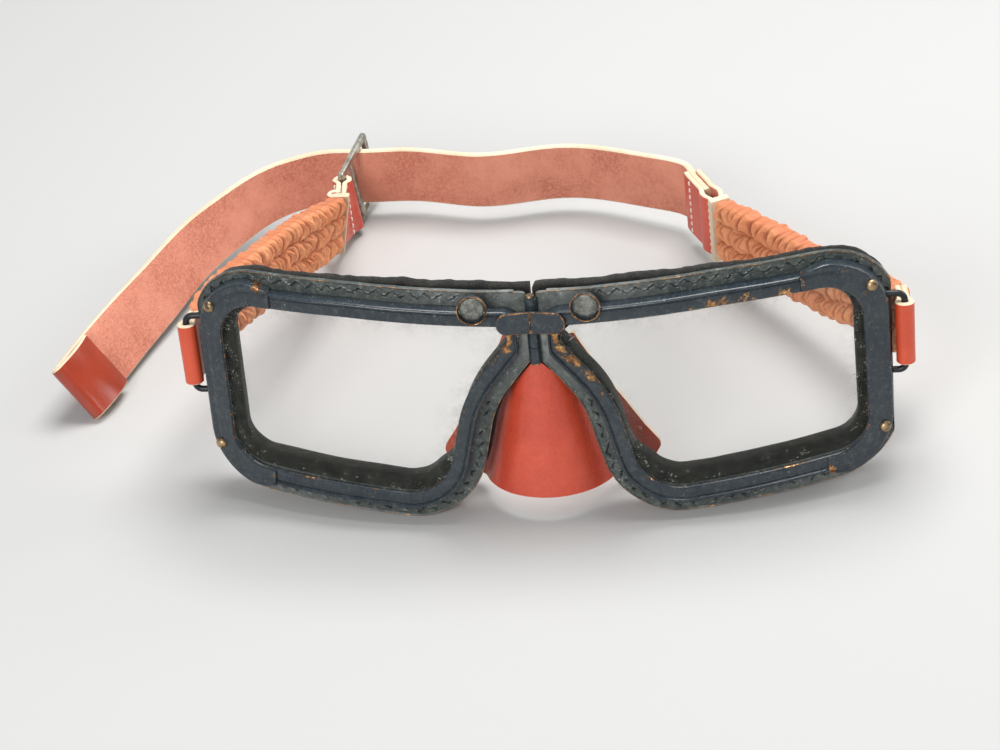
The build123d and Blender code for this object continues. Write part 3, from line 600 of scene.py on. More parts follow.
pad_middle, pad_half_width = 2.5, 5.3
pad_centre_depth, pad_half_depth = 8.05, 3.65
pad_nearest, pad_temple, pad_least_behind, pad_play = 0.3, 92.4, 4.6, 0.35
pad_seeds = {"right": 41, "left": 51}
pad_angles = np.linspace(0, 2 * math.pi, 36, endpoint=False)
pad_profile = []
for angle in pad_angles:
    across, deep = math.cos(angle), math.sin(angle)
    flatness = 0.8 if deep > 0 else 0.4
    reach = pad_middle + pad_half_width * math.copysign(abs(across) ** 0.62, across)
    depth = pad_centre_depth + pad_half_depth * math.copysign(abs(deep) ** flatness, deep)
    pad_profile.append((reach, depth))
pad_profile = np.array(pad_profile)
for side in ("right", "left"):
    x, height, depth = band(pad_profile, widest=pad_middle + pad_half_width, nearest=pad_nearest)
    x, height = squared(x, height, 0.15 + 0.13 * np.clip(pad_profile[:, 1] - 5.0, 0, 9))
    x = np.minimum(x, pad_temple)
    edge_x, edge_height = edge_points[:, :1], edge_points[:, 1:]
    nose_side = np.clip((29 - edge_x) / 5, 0, 1) * np.clip((51 - edge_height) / 4, 0, 1)
    nose_side = nose_side * np.clip((edge_height - 8) / 6, 0, 1)
    reach = pad_profile[:, 0]
    bulge = np.clip(1.6 - reach, 0, 4.4) * 0.75 + np.clip(reach - 3, 0, 4.8) * 0.42
    x = x + edge_out[:, :1] * nose_side * bulge
    height = height + edge_out[:, 1:] * nose_side * bulge
    run, angle, seed = edge_run[:, None], pad_angles[None, :], pad_seeds[side]
    swell = 0.35 * ripple(edge_run, seed, 24)[:, None]
    swell = swell + 0.22 * ripple(edge_run, seed + 1, 7)[:, None] * np.sin(angle + 0.7)
    swell = swell + 0.04 * np.sin(run * 3.1 + 4 * np.cos(angle)) * ripple(edge_run, seed + 2, 11)[:, None]
    puff = np.clip((height - 50) / 8, 0, 1) * np.clip((60 - x) / 30, 0, 1)
    depth = depth + np.clip(np.sin(angle), 0, 1) * (swell + 1.6 * puff)
    raised = np.clip(np.cos(angle), 0, 1) * (swell * 0.6 + 1.3 * puff)
    height = height + raised * np.clip(edge_out[:, 1:] * 2, -1, 1)
    seat = guard_behind(x, height) - pad_play + 3.0 * np.maximum(0, height - 44.5)
    behind = np.minimum(behind_plane(x, depth), np.maximum(seat, pad_least_behind))
    ring = shape(in_frame(x, height, behind), closed=True)
    pad = sided(side, "velvet_pad", [ring], [velvet], "velvet", "pad", smooth=80)


# END CLIPS
# A cap of sheet brass over the temple end of each rim, with a skirt down to the flange.
# Its cut ends and the turn of its edge are rubbed to the metal.
clip_face, clip_rear, clip_width, skirt_inside = -0.60, 3.35, 6.90, 6.20
clip_profile = np.array([
    (0.30, 0.0), (0.30, -0.42), (0.42, -0.56), (0.60, clip_face), (2.2, clip_face),
    (3.7, clip_face), (4.1, -0.56), (4.5, -0.38), (4.9, -0.30), (5.4, -0.36), (5.9, -0.50),
    (6.30, -0.54), (6.68, -0.42), (6.86, -0.16), (clip_width, 0.20), (clip_width, 1.8),
    (clip_width, clip_rear), (skirt_inside, clip_rear), (skirt_inside, 0.0),
])
clip_wear = {
    "right": [(71, 60, 2.2, 0.55), (77, 3.5, 2.0, 0.75), (82, 60.5, 6.0, 0.28), (88, 55, 4.0, 0.3),
              (89, 30, 10.0, 0.16)],
    "left": [(71, 60, 2.0, 0.35), (77, 3.5, 2.0, 0.35), (74, 63.5, 2.6, 0.62), (89, 40, 9.0, 0.16)],
}
clip_taper, clip_pull, worn_rows = 9, 1.9, 3
clip_line = edge_points + 3 * edge_out
clip_rows = np.flatnonzero(beyond_clip_edge(clip_line[:, 0], clip_line[:, 1], 0.01) > 0.5)
for side in ("right", "left"):
    x, height, depth = band(clip_profile, rows=clip_rows)
    reach = clip_profile[:, 0]
    steps = np.arange(len(clip_rows))
    from_end = np.minimum(steps, steps[::-1]) * 0.36
    narrowed = np.clip(1 - from_end / clip_taper, 0, 1)[:, None] ** 1.5
    pull = narrowed * np.clip((reach - 4.3) / 2.6, 0, 1) * clip_pull
    x = x - edge_out[clip_rows, :1] * pull
    height = height - edge_out[clip_rows, 1:] * pull
    wear = bell(reach - 0.4, 0.2) * (0.42 + 0.16 * ripple(edge_run[clip_rows], 61, 18)[:, None])
    skirt_wear = 0.30 + 0.12 * ripple(edge_run[clip_rows], 62, 14)[:, None]
    wear = np.maximum(wear, bell(reach - 6.7, 0.25) * skirt_wear)
    wear = np.maximum(wear, spots(x, height, clip_wear[side]))
    cut_ends = np.zeros((len(clip_rows), 1))
    cut_ends[:worn_rows] = cut_ends[-worn_rows:] = 0.42
    dent = np.where(depth < -0.5, 0.10 * bell(reach - 3.4, 1.6), 0)
    wear = np.maximum(wear, cut_ends)
    cap = shape(on_front(x, height, depth + dent), wear=wear)
    sided(side, "end_cap", [cap], [rim_paint], "slate_paint", "end_clip")


# CLIP SCREWS
# Turned brass screws with domed heads. Two of them go through each end clip into the flange
# and hold the cap down; their heads are worn and tarnished.
worn_brass, tree, shader = material("worn_brass")
tarnish = ramped(tree, noise(tree, 500.0, 5.0, 0.65), 0.38, 0.66)
tone = mixed(tree, tarnish, (0.50, 0.35, 0.19, 1), (0.13, 0.090, 0.060, 1))
surface(tree, shader, Base_Color=tone, Metallic=0.9, Roughness=0.42,
        Normal=bumped(tree, noise(tree, 900.0, 4.0, 0.6), 0.00004))


def facing(x):
    """The direction that the curved front faces at one place."""
    angle = math.asin((x - front_apex) / front_radius)
    return np.array((math.sin(angle), -math.cos(angle) * math.cos(lean), math.cos(angle) * math.sin(lean)))


screw_places = ((91.65, 13.5), (89.1, 56.1))
screw_stem, screw_length, screw_head = 0.7, 4.5, 1.6
screw_profile = [(screw_stem, -screw_length), (screw_stem, -0.1), (1.62, -0.1)]
for angle in np.linspace(0, 1.53, 9):
    screw_profile.append((screw_head * math.cos(angle), 0.15 + math.sin(angle)))
for side in ("right", "left"):
    heads = []
    for x, height in screw_places:
        heads.append(turned(on_front(x, height, clip_face), facing(x), screw_profile, 32))
    sided(side, "domed_screws", heads, [worn_brass], "worn_brass", "clip_screws")


# STOP PLATES
# Half of the oval plate over the hinge on each side; the halves meet over the pin when the
# goggles lie open. A fine bare line runs round the edge.
plate_front, plate_rear, plate_bevel = -1.3, -0.5, 0.22
plate_round = (6.1, 54.3, 3.1)
plate_joint, plate_straight, plate_top, plate_bottom = 0.06, 5.2, 57.4, 51.2


def arc(x, y, radius, angles):
    """Points of an arc in a plane."""
    return [(x + radius * math.cos(angle), y + radius * math.sin(angle)) for angle in angles]


plate_rows = (  # share of the way from the middle to the edge, depth, how far inside the edge
    (0.001, plate_front, 0.0), (0.5, plate_front, 0.0), (1.0, plate_front, plate_bevel * 2),
    (1.0, plate_front, plate_bevel), (1.0, plate_front + plate_bevel * 0.7, 0.0),
    (1.0, plate_rear, 0.0), (0.001, plate_rear, 0.0),
)
plate_edge = arc(*plate_round, np.linspace(-math.pi / 2, math.pi / 2, 20))
plate_edge += [(x, plate_top) for x in np.linspace(plate_straight, plate_joint, 8)]
plate_edge += [(plate_joint, height) for height in np.linspace(plate_top - 0.8, plate_bottom + 0.8, 6)]
plate_edge += [(x, plate_bottom) for x in np.linspace(plate_joint, plate_straight, 8)]
plate_edge = np.array(plate_edge)
plate_middle = plate_edge.mean(axis=0)
for side in ("right", "left"):
    rows = []
    for share, depth, trim in plate_rows:
        along = plate_edge - plate_middle
        flat = plate_middle + along * share - unit(along) * trim
        rows.append(on_front(flat[:, 0], flat[:, 1], depth))
    wear = np.zeros((len(rows), 1))
    wear[3:5] = 0.60
    plate = shape(np.array(rows), wear=wear)
    sided(side, "hinge_plate", [plate], [rim_paint], "slate_paint", "stop_plate", smooth=25)


# STUDS
# A turned brass ring with a grey domed button sunk in it, beside the hinge on each half.
# The button's stem goes down through the flange and holds the ring.
button_paint, tree, shader = material("button_grey")
scuffed = ramped(tree, noise(tree, 700.0, 6.0, 0.75), 0.4, 0.65)
tone = mixed(tree, scuffed, (0.10, 0.105, 0.095, 1), (0.26, 0.26, 0.23, 1))
surface(tree, shader, Base_Color=tone, Metallic=0.35, Roughness=0.5,
        Normal=bumped(tree, noise(tree, 800.0, 5.0, 0.7), 0.0001))
stud_x, stud_height, stud_foot = 15.0, 59.3, -0.5
ring_profile = [(3.5, 0.0), (4.0, 0.0), (4.1, 0.2), (4.1, 1.2), (4.06, 1.42), (3.94, 1.52), (3.82, 1.44),
                (3.76, 1.2), (3.7, 0.2)]
ring_wear = np.array([0.1, 0.1, 0.2, 0.45, 0.9, 1.0, 0.9, 0.5, 0.1])[:, None]
button_profile = [(0.8, -4.6), (0.8, -0.05), (3.15, -0.02), (3.28, 0.1), (3.2, 0.24), (2.7, 0.36),
                  (2.0, 0.46), (1.1, 0.53), (0.05, 0.55)]
stud_place = on_front(stud_x, stud_height, stud_foot)
for side in ("right", "left"):
    ring = turned(stud_place, facing(stud_x), ring_profile, 64, closed=True, wear=ring_wear)
    sided(side, "stud_rim", [ring], [rim_paint], "worn_brass", "stud_ring")
    button = turned(stud_place, facing(stud_x), button_profile, 48)
    sided(side, "stud_dome", [button], [button_paint], "slate_paint", "stud_button", smooth=50)


# HINGE PIN
# A plain brass pin through the four knuckles, with a small head turned at each end. The lower
# head shows as a ring.
pin_profile = [(0.9, 0.0), (1.15, 0.1), (1.25, 0.3), (1.25, 0.65), (0.75, 0.65), (0.75, 19.8), (1.25, 19.8),
               (1.25, 20.15), (1.1, 20.4), (0.7, 20.5)]
pin = turned(in_frame(0.0, knuckle_foot - 0.7, pin_behind), pin_way, pin_profile, 32)
piece("pin_and_heads", [pin], [worn_brass], "bridge", ["hinge_pin"])


# NOSE GUARD
# One cut of thin leather bent over the nose between the two frames. Its wings are sewn behind
# the pads and go with them when the frames fold; here each half is a fixed piece from the hinge
# outwards.
# The front of its lower edge is painted near black, a painted shadow line along it; the other cut edges are
# cream.
pores, scale_in, height_out = new_group("leather_pores", "Scale", "Height")
place = put(pores, "TexCoord").outputs["Object"]
cells = put(pores, "TexVoronoi", {"feature": "DISTANCE_TO_EDGE"}, Vector=place, Scale=scale_in)
fine = put(pores, "TexNoise", None, Vector=place, Scale=scale_in, Detail=6.0, Roughness=0.7)
grain_height = reckon(pores, "*", cells.outputs["Distance"], 0.8)
pores.links.new(reckon(pores, "+", grain_height, fine.outputs["Fac"]), height_out)


def hide(name, tone, dark, rough, grain, depth, sheen=0.0, coat=0.0, speckle=0.35, streaks=0.0,
         streak_way=(1.0, 1.0, 7.0), folds=None):
    """Leather in two tones: its grain's scale and depth, and streaks, or painted shade in its folds if it has
    any.
    """
    made, tree, shader = material(name)
    colour = mixed(tree, ramped(tree, noise(tree, 55.0, 5.0, 0.65), 0.32, 0.72), dark, tone)
    fleck = ramped(tree, noise(tree, 1100.0, 3.0, 0.6), 0.35, 0.7)
    colour = mixed(tree, reckon(tree, "*", fleck, speckle), colour, tone)
    # Painted shade in the valleys of the folds, where the points carry it.
    if folds:
        colour = mixed(tree, carried(tree, "mark"), colour, folds)
    height = given_by(tree, pores, grain)
    if streaks:
        streaked = reckon(tree, "*", noise(tree, 260.0, 6.0, 0.7, streak_way), streaks)
        height = reckon(tree, "+", height, streaked)
    surface(tree, shader, Base_Color=colour, Roughness=rough, Sheen_Weight=sheen, Coat_Weight=coat,
            Coat_Roughness=0.25, Sheen_Tint=tone, Normal=bumped(tree, height, depth))
    return made


red_grain = hide("red_grain", (0.66, 0.080, 0.034, 1), (0.50, 0.050, 0.021, 1), 0.50, 900.0, 0.0001,
                 coat=0.4, streaks=0.8)
suede = hide("pink_suede", (0.74, 0.305, 0.205, 1), (0.50, 0.160, 0.100, 1), 0.95, 1500.0, 0.0003,
             sheen=0.4, speckle=0.75)
cut_edge = hide("cut_edge", (0.76, 0.67, 0.50, 1), (0.66, 0.50, 0.33, 1), 0.85, 1800.0, 0.0002)
# Near black for the painted shadow line along the front of the guard's lower edge.
dyed_edge, tree, shader = material("dyed_edge")
surface(tree, shader, Base_Color=(0.020, 0.010, 0.008, 1), Roughness=0.6)

guard_leather, painted_shadow_faces = 1.2, 28
wing_heights = (guard_low, 2.8, 5.5, 7.5, 13.0, 21.9, 31.9, 42.7, guard_low + guard_tall)
wing_tips = (26.2, 28.4, 30.2, 29.8, 26.3, 21.5, 15.8, 10.6, 9.6)
fold_reach, fold_y, fold_z = 0.010, 0.005, 0.02


def guard_line(height, inward):
    """Points of one face of the guard at one height, from the nose to the wing's tip."""
    radius, depth, back_radius, centre_x, centre_depth = guard_bends(height, inward)
    points = []
    for angle in np.radians([0, 0.4] + list(np.linspace(0, guard_turn_deg, 25)[1:])):
        points.append((radius * math.sin(angle), depth + radius * (1 - math.cos(angle))))
    for angle in np.linspace(guard_turn, wing_turn, 13)[1:]:
        x = centre_x - back_radius * math.sin(angle)
        points.append((x, centre_depth + back_radius * math.cos(angle)))
    bend_x, bend_depth = points[-1]
    wing = (np.interp(height, wing_heights, wing_tips) - bend_x) / math.cos(wing_turn)
    for step in np.linspace(0, 1, 12)[1:]:
        along = wing * step
        points.append((bend_x + along * math.cos(wing_turn), bend_depth + along * math.sin(wing_turn)))
    return np.array(points)


loops = []
for height in guard_low + guard_tall * np.linspace(0, 1, 60):
    outer, inner = guard_line(height, 0.0), guard_line(height, guard_leather)
    outer[:, 1] += 0.05 * ripple(np.arange(len(outer)) * 0.5, 71, 5)
    loop = np.concatenate((outer, inner[::-1]))
    loops.append(in_frame(loop[:, 0], height, loop[:, 1]))
count = len(outer)
guard_finish = [0] * (count - 1) + [2] + [1] * (count - 1) + [2]
for side, out in (("right", 1), ("left", -1)):
    guard = shape(np.array(loops), capped=False, finish=guard_finish)
    for row in (0, len(loops) - 1):
        base, far = row * 2 * count, (row + 1) * 2 * count
        for index in range(count - 1):
            guard["faces"].append((base + index, base + index + 1, far - 2 - index, far - 1 - index))
            # The front faces of the lowest edge carry the painted shadow; the other cut edges are cream.
            guard["kinds"].append(3 if index < painted_shadow_faces and row == 0 else 2)
    body = ("bridge", side + "_frame", (0, fold_y, fold_z), (out * fold_reach, fold_y, fold_z))
    piece(side + "_nose_leather", [guard], [red_grain, suede, cut_edge, dyed_edge], body,
          ["nose_guard"], flip=side == "left", smooth=50)


# WIRE BAILS
# A black steel wire bent to a long staple in each temple. Its ends sit in the end clip, and
# the strap end turns on its upright stretch.
black_wire, tree, shader = material("black_wire")
surface(tree, shader, Base_Color=(0.018, 0.019, 0.021, 1), Metallic=0.4, Roughness=0.38,
        Normal=bumped(tree, noise(tree, 900.0, 4.0, 0.6), 0.00004))


def rod(points, radius, axis, count=20):
    """A round rod along a flat line of points; axis is square to that line."""
    side_way = unit(np.cross(unit(np.gradient(points, axis=0)), axis))
    angles = np.linspace(0, 2 * math.pi, count, endpoint=False)[None, :, None]
    rows = points[:, None, :] + radius * (np.cos(angles) * side_way[:, None, :] + np.sin(angles) * axis)
    return shape(rows)


bar_x, bar_behind, bar_height, bar_half = 97.5, 17.97, 40.0, 11.3
wire_radius, wire_bend, wire_start, wire_straight = 0.9, 2.0, 92.5, 95.0
back_way = np.array((0, math.cos(lean), -math.sin(lean)))
upward = np.array((0, math.sin(lean), math.cos(lean)))
wire_foot = bar_height - bar_half
wire = [(wire_start, wire_foot), (wire_straight, wire_foot)]
for angle in np.linspace(0, math.pi / 2, 8):
    wire.append((bar_x - wire_bend * (1 - math.sin(angle)), wire_foot + wire_bend * (1 - math.cos(angle))))
wire = np.array(wire)
wire = np.concatenate((wire, (wire * (1, -1) + (0, 2 * bar_height))[::-1]))
for side in ("right", "left"):
    staple = rod(in_frame(wire[:, 0], wire[:, 1], bar_behind), wire_radius, back_way)
    sided(side, "wire_staple", [staple], [black_wire], "black_wire", "bail", smooth=50)


# STRAP ENDS
# Leather folded round each bail into a tube. The two layers are stitched together behind
# the wire; the cut edges are left cream.
tube_grain = hide("tube_grain", (0.66, 0.085, 0.030, 1), (0.54, 0.058, 0.020, 1), 0.40, 900.0, 0.00005,
                  coat=0.2)


def strip(line, face_way, width_way, thickness, width, finish, soften=0.3):
    """A flat strip of leather along a line; finish names its two faces and its edge."""
    half, reach = thickness / 2, width / 2
    section = [(-half, soften - reach), (-half, 0.0), (-half, reach - soften), (soften - half, reach),
               (half - soften, reach), (half, reach - soften), (half, 0.0), (half, soften - reach),
               (half - soften, -reach), (soften - half, -reach)]
    one, other, edge = finish
    faces = [one, one, edge, edge, edge, other, other, edge, edge, edge]
    rows = [line + face_way * across + width_way * along for across, along in section]
    return shape(np.stack(rows, axis=1), finish=faces)


def laid(line, origin, along, off, turn=1):
    """A flat line's points in space, along and off a direction, and the way its face looks."""
    heading = np.gradient(line, axis=0)
    outward = unit(np.stack((heading[:, 1], -heading[:, 0]), axis=1)) * turn
    points = origin + line[:, :1] * along + line[:, 1:] * off
    return points, outward[:, :1] * along + outward[:, 1:] * off


# The ring of sleeves and strap: how far it reaches to the side and to the rear, and the height
# of the bails. Each sleeve's route from its bail to the rear is given in shares of that.
ring_reach = np.array((bar_x, 156.6, 39.068))
sleeve_shares = {
    "right": [(0.988, 0.187, 1.000), (0.940, 0.287, 0.850), (0.816, 0.415, 0.670), (0.642, 0.562, 0.570),
              (0.499, 0.677, 0.500), (0.448, 0.736, 0.423)],
    "left": [(0.993, 0.187, 1.050), (0.978, 0.268, 1.010), (0.930, 0.383, 0.925), (0.860, 0.543, 0.790),
             (0.806, 0.680, 0.610), (0.780, 0.808, 0.413)],
}
tube_leather, tube_length, tube_tail, sleeve_overlap = 1.6, 18.0, 9.8, 9.0
tube_radius = wire_radius + 0.05 + tube_leather / 2
tail_line = [(tube_tail, 0.82), (6.5, 0.82), (3.4, 0.84)]
tube_line = tail_line + arc(0, 0, tube_radius, np.radians(np.linspace(52, 308, 30)))
tube_line = np.array(tube_line + [(along, -across) for along, across in tail_line[::-1]])
bar_place = in_frame(bar_x, bar_height, bar_behind)
sleeve_starts = {}
for side in ("right", "left"):
    aim_way = ring_reach * sleeve_shares[side][0] - bar_place
    aim_way = unit(aim_way - upward * (aim_way @ upward))
    off_way = np.cross(upward, aim_way)
    points, face_way = laid(tube_line, bar_place, aim_way, off_way)
    tube = strip(points, face_way, upward, tube_leather, tube_length, (0, 0, 1))
    sleeve_starts[side] = bar_place + aim_way * sleeve_overlap
    sided(side, "leather_tube", [tube], [tube_grain, cut_edge], "red_leather", "strap_end",
          body="strap_side", smooth=40)


# SLEEVES
# Thin orange leather sewn in three rows over coil springs and gathered along them, so that
# it stands in overlapping crescent folds. Painted shade darkens the valleys between the folds and rows.
# Its folds colour is the painted shade of the fold valleys.
gathered_hide = hide("gathered_hide", (0.93, 0.400, 0.185, 1), (0.80, 0.270, 0.105, 1), 0.50, 1300.0, 0.00016,
                     sheen=0.12, speckle=0.5, streaks=1.6, streak_way=(5.0, 5.0, 1.2),
                     folds=(0.33, 0.062, 0.020, 1))


def path_through(points, step):
    """A smooth line through points, evenly stepped, with its headings and its run."""
    points = np.asarray(points, dtype=float)
    knots = np.concatenate(([0], np.cumsum(np.linalg.norm(np.diff(points, axis=0), axis=1))))
    count = len(points)
    spans = np.diff(knots)
    slopes = np.diff(points, axis=0) / spans[:, None]
    system, values = np.zeros((count, count)), np.zeros((count, 3))
    system[0, 0] = system[-1, -1] = 1
    for index in range(1, count - 1):
        before, after = spans[index - 1], spans[index]
        system[index, index - 1:index + 2] = before, 2 * (before + after), after
        values[index] = 6 * (slopes[index] - slopes[index - 1])
    bend = np.linalg.solve(system, values)
    fine = np.linspace(0, knots[-1], 1500)
    span = np.clip(np.searchsorted(knots, fine, side="right") - 1, 0, count - 2)
    whole = spans[span][:, None]
    after, before = (knots[span + 1] - fine)[:, None], (fine - knots[span])[:, None]
    line = (bend[span] * after ** 3 + bend[span + 1] * before ** 3) / (6 * whole)
    line += (points[span] / whole - bend[span] * whole / 6) * after
    line += (points[span + 1] / whole - bend[span + 1] * whole / 6) * before
    run = np.concatenate(([0], np.cumsum(np.linalg.norm(np.diff(line, axis=0), axis=1))))
    even = np.linspace(0, run[-1], max(2, int(run[-1] / step) + 1))
    line = np.stack([np.interp(even, run, line[:, axis]) for axis in range(3)], axis=1)
    return line, unit(np.gradient(line, axis=0)), even


sleeve_half, row_pitch, fold_count = 10.35, 6.9, 80
sleeve_core, row_puff, fold_rise, least_gap, widest_gap = 1.3, 1.75, 1.5, 1.6, 4.4
sleeve_seeds = {"right": 85, "left": 86}
fold_seeds = {"right": 5, "left": 6}
sleeve_twist = {"right": 0.0, "left": -0.21}
far_bodies = {"right": "rear", "left": "buckle_end"}
floor_part = np.array((1, 1, 0))
heights = sleeve_half * np.sin((np.linspace(0, 1, 66) - 0.5) * math.pi)
level = np.concatenate((heights, heights[::-1][1:-1]))[None, :]
facing_side = np.concatenate((np.ones(len(heights)), -np.ones(len(heights) - 2)))[None, :]
row_of = np.clip(np.round(level / row_pitch), -1, 1)
paths = {}
for side in ("right", "left"):
    points = [sleeve_starts[side]] + [ring_reach * share for share in sleeve_shares[side]]
    line, heading, run = path_through(points, 0.26)
    paths[side] = (line, heading)
    face_way = np.cross((0, 0, 1.0), unit(heading * floor_part))
    twist = sleeve_twist[side] * (run / run[-1]) ** 2
    width_way = unit(np.stack((twist, 0 * twist, 1 + 0 * twist), axis=1))

    # How far each point lies across its own row of folds, from -1 to 1
    inside = np.clip(1 - np.abs(level) / sleeve_half, 0, 1)
    drift = 1.3 * ripple(run, sleeve_seeds[side], 14)[:, None] * inside
    within = np.clip((level + drift - row_of * row_pitch) / (row_pitch / 2), -1, 1)

    # The crescent folds of each row on each face
    dice = np.random.default_rng(fold_seeds[side])
    ridge = np.zeros(within.shape)
    shade = np.zeros(within.shape)
    for row in (-1, 0, 1):
        for face in (-1, 1):
            picked = (row_of[0] == row) & (facing_side[0] == face)
            gaps = dice.uniform(least_gap, widest_gap, fold_count) * (1.15 if row == 1 else 0.9)
            stations = np.cumsum(gaps) - 3.0
            strength = dice.uniform(0.35, 1.0, fold_count)
            local = within[:, picked]
            along = run[:, None] + 2.3 * local ** 2 + 0.6 * np.sin(local * 2.4 + row + run[:, None] * 0.6)
            place = np.clip(np.searchsorted(stations, along), 1, fold_count - 1)
            share = np.clip((along - stations[place - 1]) / gaps[place], 0, 1)
            dip = np.clip(np.sin(share ** 1.6 * math.pi), 0, 1)
            fold = dip ** 0.5
            crease = 0.22 * np.sin(share * 11 + local * 4 + 7 * strength[place])
            crease = (crease + 0.13 * np.sin(share * 23 - local * 7 + 19 * strength[place])) * fold
            ridge[:, picked] = (fold + crease) * strength[place]
            # Painted shade in the valley before each fold.
            shade[:, picked] = np.clip(1 - dip / 0.6, 0, 1) ** 1.3 * (0.6 + 0.4 * strength[place])

    # Over the upper and lower edge the folds of the front run through to the rear
    near_top = np.clip((np.abs(level) - 7.6) / 2.2, 0, 1)
    top = (level[0] > 7) & (level[0] < 9.6) & (facing_side[0] > 0)
    top_ridge = np.convolve(ridge[:, top].mean(axis=1), np.ones(5) / 5, "same")[:, None]
    ridge = ridge * (1 - near_top) + top_ridge * near_top

    full = np.sqrt(np.clip(1 - within ** 2, 0, 1)) ** 0.8
    ends = np.clip(np.minimum(run, run[-1] - run) / 5.0, 0, 1)[:, None] ** 0.6
    body = (sleeve_core + row_puff * full) * (0.45 + 0.55 * ends)
    body = body * (1 + 0.12 * ripple(run, 81, 9)[:, None])
    off = facing_side * (body + fold_rise * (ridge - 0.55) * (0.45 + 0.55 * full) * ends)
    spread = (0.88 + 0.12 * ends) * (1 + 0.10 * (top_ridge - 0.5) * (level / sleeve_half) ** 2)
    rows = line[:, None, :] + face_way[:, None, :] * off[..., None]
    rows = rows + width_way[:, None, :] * (level * spread)[..., None]
    # Painted shade: the fold valleys and the seams between the rows are darkened.
    dark = np.clip(np.maximum(shade, 0.6 * (1 - full)) * 0.95, 0, 1)
    sleeve = shape(rows, mark=dark)
    mirror_x = np.array((1 if side == "right" else -1, 1, 1)) / 1000
    carrier = (side + "_strap_side", far_bodies[side], tuple(line[0] * mirror_x), tuple(line[-1] * mirror_x))
    cover = sided(side, "gathered_sleeve", [sleeve], [gathered_hide], "tan_leather", "sleeve", "springs",
                  body=carrier, smooth=70)


# REAR STRAP
# One strip of strap leather held on its edge: grain outside, suede inside, cream along the
# cut edges. It ends in a tail that leans over, with its tip folded back, grain outwards.
dark_grain = hide("dark_grain", (0.36, 0.045, 0.018, 1), (0.26, 0.028, 0.012, 1), 0.30, 700.0, 0.00006,
                  coat=0.45)
join_start = paths["right"][0][-1]
join_way = unit(paths["right"][1][-1] * floor_part)
join_origin = join_start + join_way * 0.3
strap_leather, strap_width, strap_low, strap_lean = 2.2, 19.2, 5.322, math.radians(34)
route_shares = [(0.346, 0.876), (0.222, 0.928), (0.046, 0.975), (-0.082, 0.988), (-0.338, 0.966),
                (-0.574, 0.998), (-0.744, 1.0), (-0.844, 1.003), (-0.939, 0.986), (-1.048, 0.935),
                (-1.137, 0.853), (-1.215, 0.756), (-1.276, 0.625), (-1.337, 0.499), (-1.378, 0.410)]
strap_line = []
for reach in (7.7, 10.5, 14.0, 17.5):
    strap_line.append((join_origin + join_way * reach) * floor_part + (0, 0, strap_low + 1.4))
for index, share in enumerate(route_shares):
    sunk = 0.68 * max(0, index - 8.8) / 5.2
    lift = max(0.0, 1.1 - 0.55 * index)
    strap_line.append((*(ring_reach[:2] * share), strap_low * (1 - sunk) + lift))
line, heading, run = path_through(strap_line, 0.8)
strap_start, strap_run = line[:15], run[:15]
lean_by = (strap_lean * np.maximum(0, run / run[-1] - 0.6) / 0.4)[:, None]
upright = unit(np.array((0, 0, 1.0)) - heading * heading[:, 2:])
width_way = upright * np.cos(lean_by) + np.cross(heading, upright) * np.sin(lean_by)
face_way = np.cross(width_way, heading)
middle = line + width_way * strap_width / 2

# The tip: on for a thumb's width, round and back along itself with a slight bow
tip_reach, tip_end, tip_gap, tip_bow = 17, 2.4, 2.5, 1.5
tip, tip_heading, tip_face, tip_width = middle[-1], heading[-1], face_way[-1], width_way[-1]
fold = [tip + tip_heading * reach for reach in np.linspace(1, tip_reach, 12)]
fold_faces = [tip_face] * len(fold)
for angle in np.linspace(0, math.pi, 13)[1:-1]:
    fold.append(tip + tip_heading * (tip_reach + tip_gap / 2 * math.sin(angle))
                + tip_face * tip_gap / 2 * (1 - math.cos(angle)))
    fold_faces.append(tip_face * math.cos(angle) - tip_heading * math.sin(angle))
for reach in np.linspace(tip_reach, tip_end, 11):
    bow = (reach - tip_end) / (tip_reach - tip_end) * math.pi
    fold.append(tip + tip_heading * reach + tip_face * (tip_gap + tip_bow * math.sin(bow)))
    fold_faces.append(unit(-tip_face + tip_heading * 0.32 * math.cos(bow)))
middle = np.concatenate((middle, fold))
face_way = np.concatenate((face_way, fold_faces))
width_way = np.concatenate((width_way, np.broadcast_to(tip_width, (len(fold), 3))))
strap = strip(middle, face_way, width_way, strap_leather, strap_width, (0, 1, 2), soften=0.4)
piece("head_strap", [strap], [dark_grain, suede, cut_edge], "rear", ["rear_strap"],
      smooth=40)


# JOIN TAB
# Two layers of red leather over the end of the rear strap, bulged apart in the middle and
# stitched with white thread. Cream binding closes it against the right sleeve.
thread, tree, shader = material("white_thread")
surface(tree, shader, Base_Color=(0.82, 0.76, 0.62, 1), Roughness=0.8)
stitch_count, stitch_pitch, stitch_length, stitch_radius = 8, 2.4, 1.5, 0.35
binding_width = 21.4
stitch_profile = [(stitch_radius * 0.5, 0.0), (stitch_radius, stitch_length * 0.2),
                  (stitch_radius, stitch_length * 0.8), (stitch_radius * 0.5, stitch_length)]


def stitches(foot, along, outward):
    """A row of short stitches that stand a little out of the leather; thread is finish 3."""
    made = []
    for step in range(stitch_count):
        start = foot + along * (stitch_pitch * (step + 0.5) - stitch_length / 2) + outward * 0.1
        made.append(turned(start, along, stitch_profile, 8, 3))
    return made


def binding(start, end, across, upward, thickness):
    """Cream leather wrapped over the end of a sleeve."""
    line = np.array([start, end])
    return strip(line, across, upward, thickness, binding_width, (2, 2, 2))


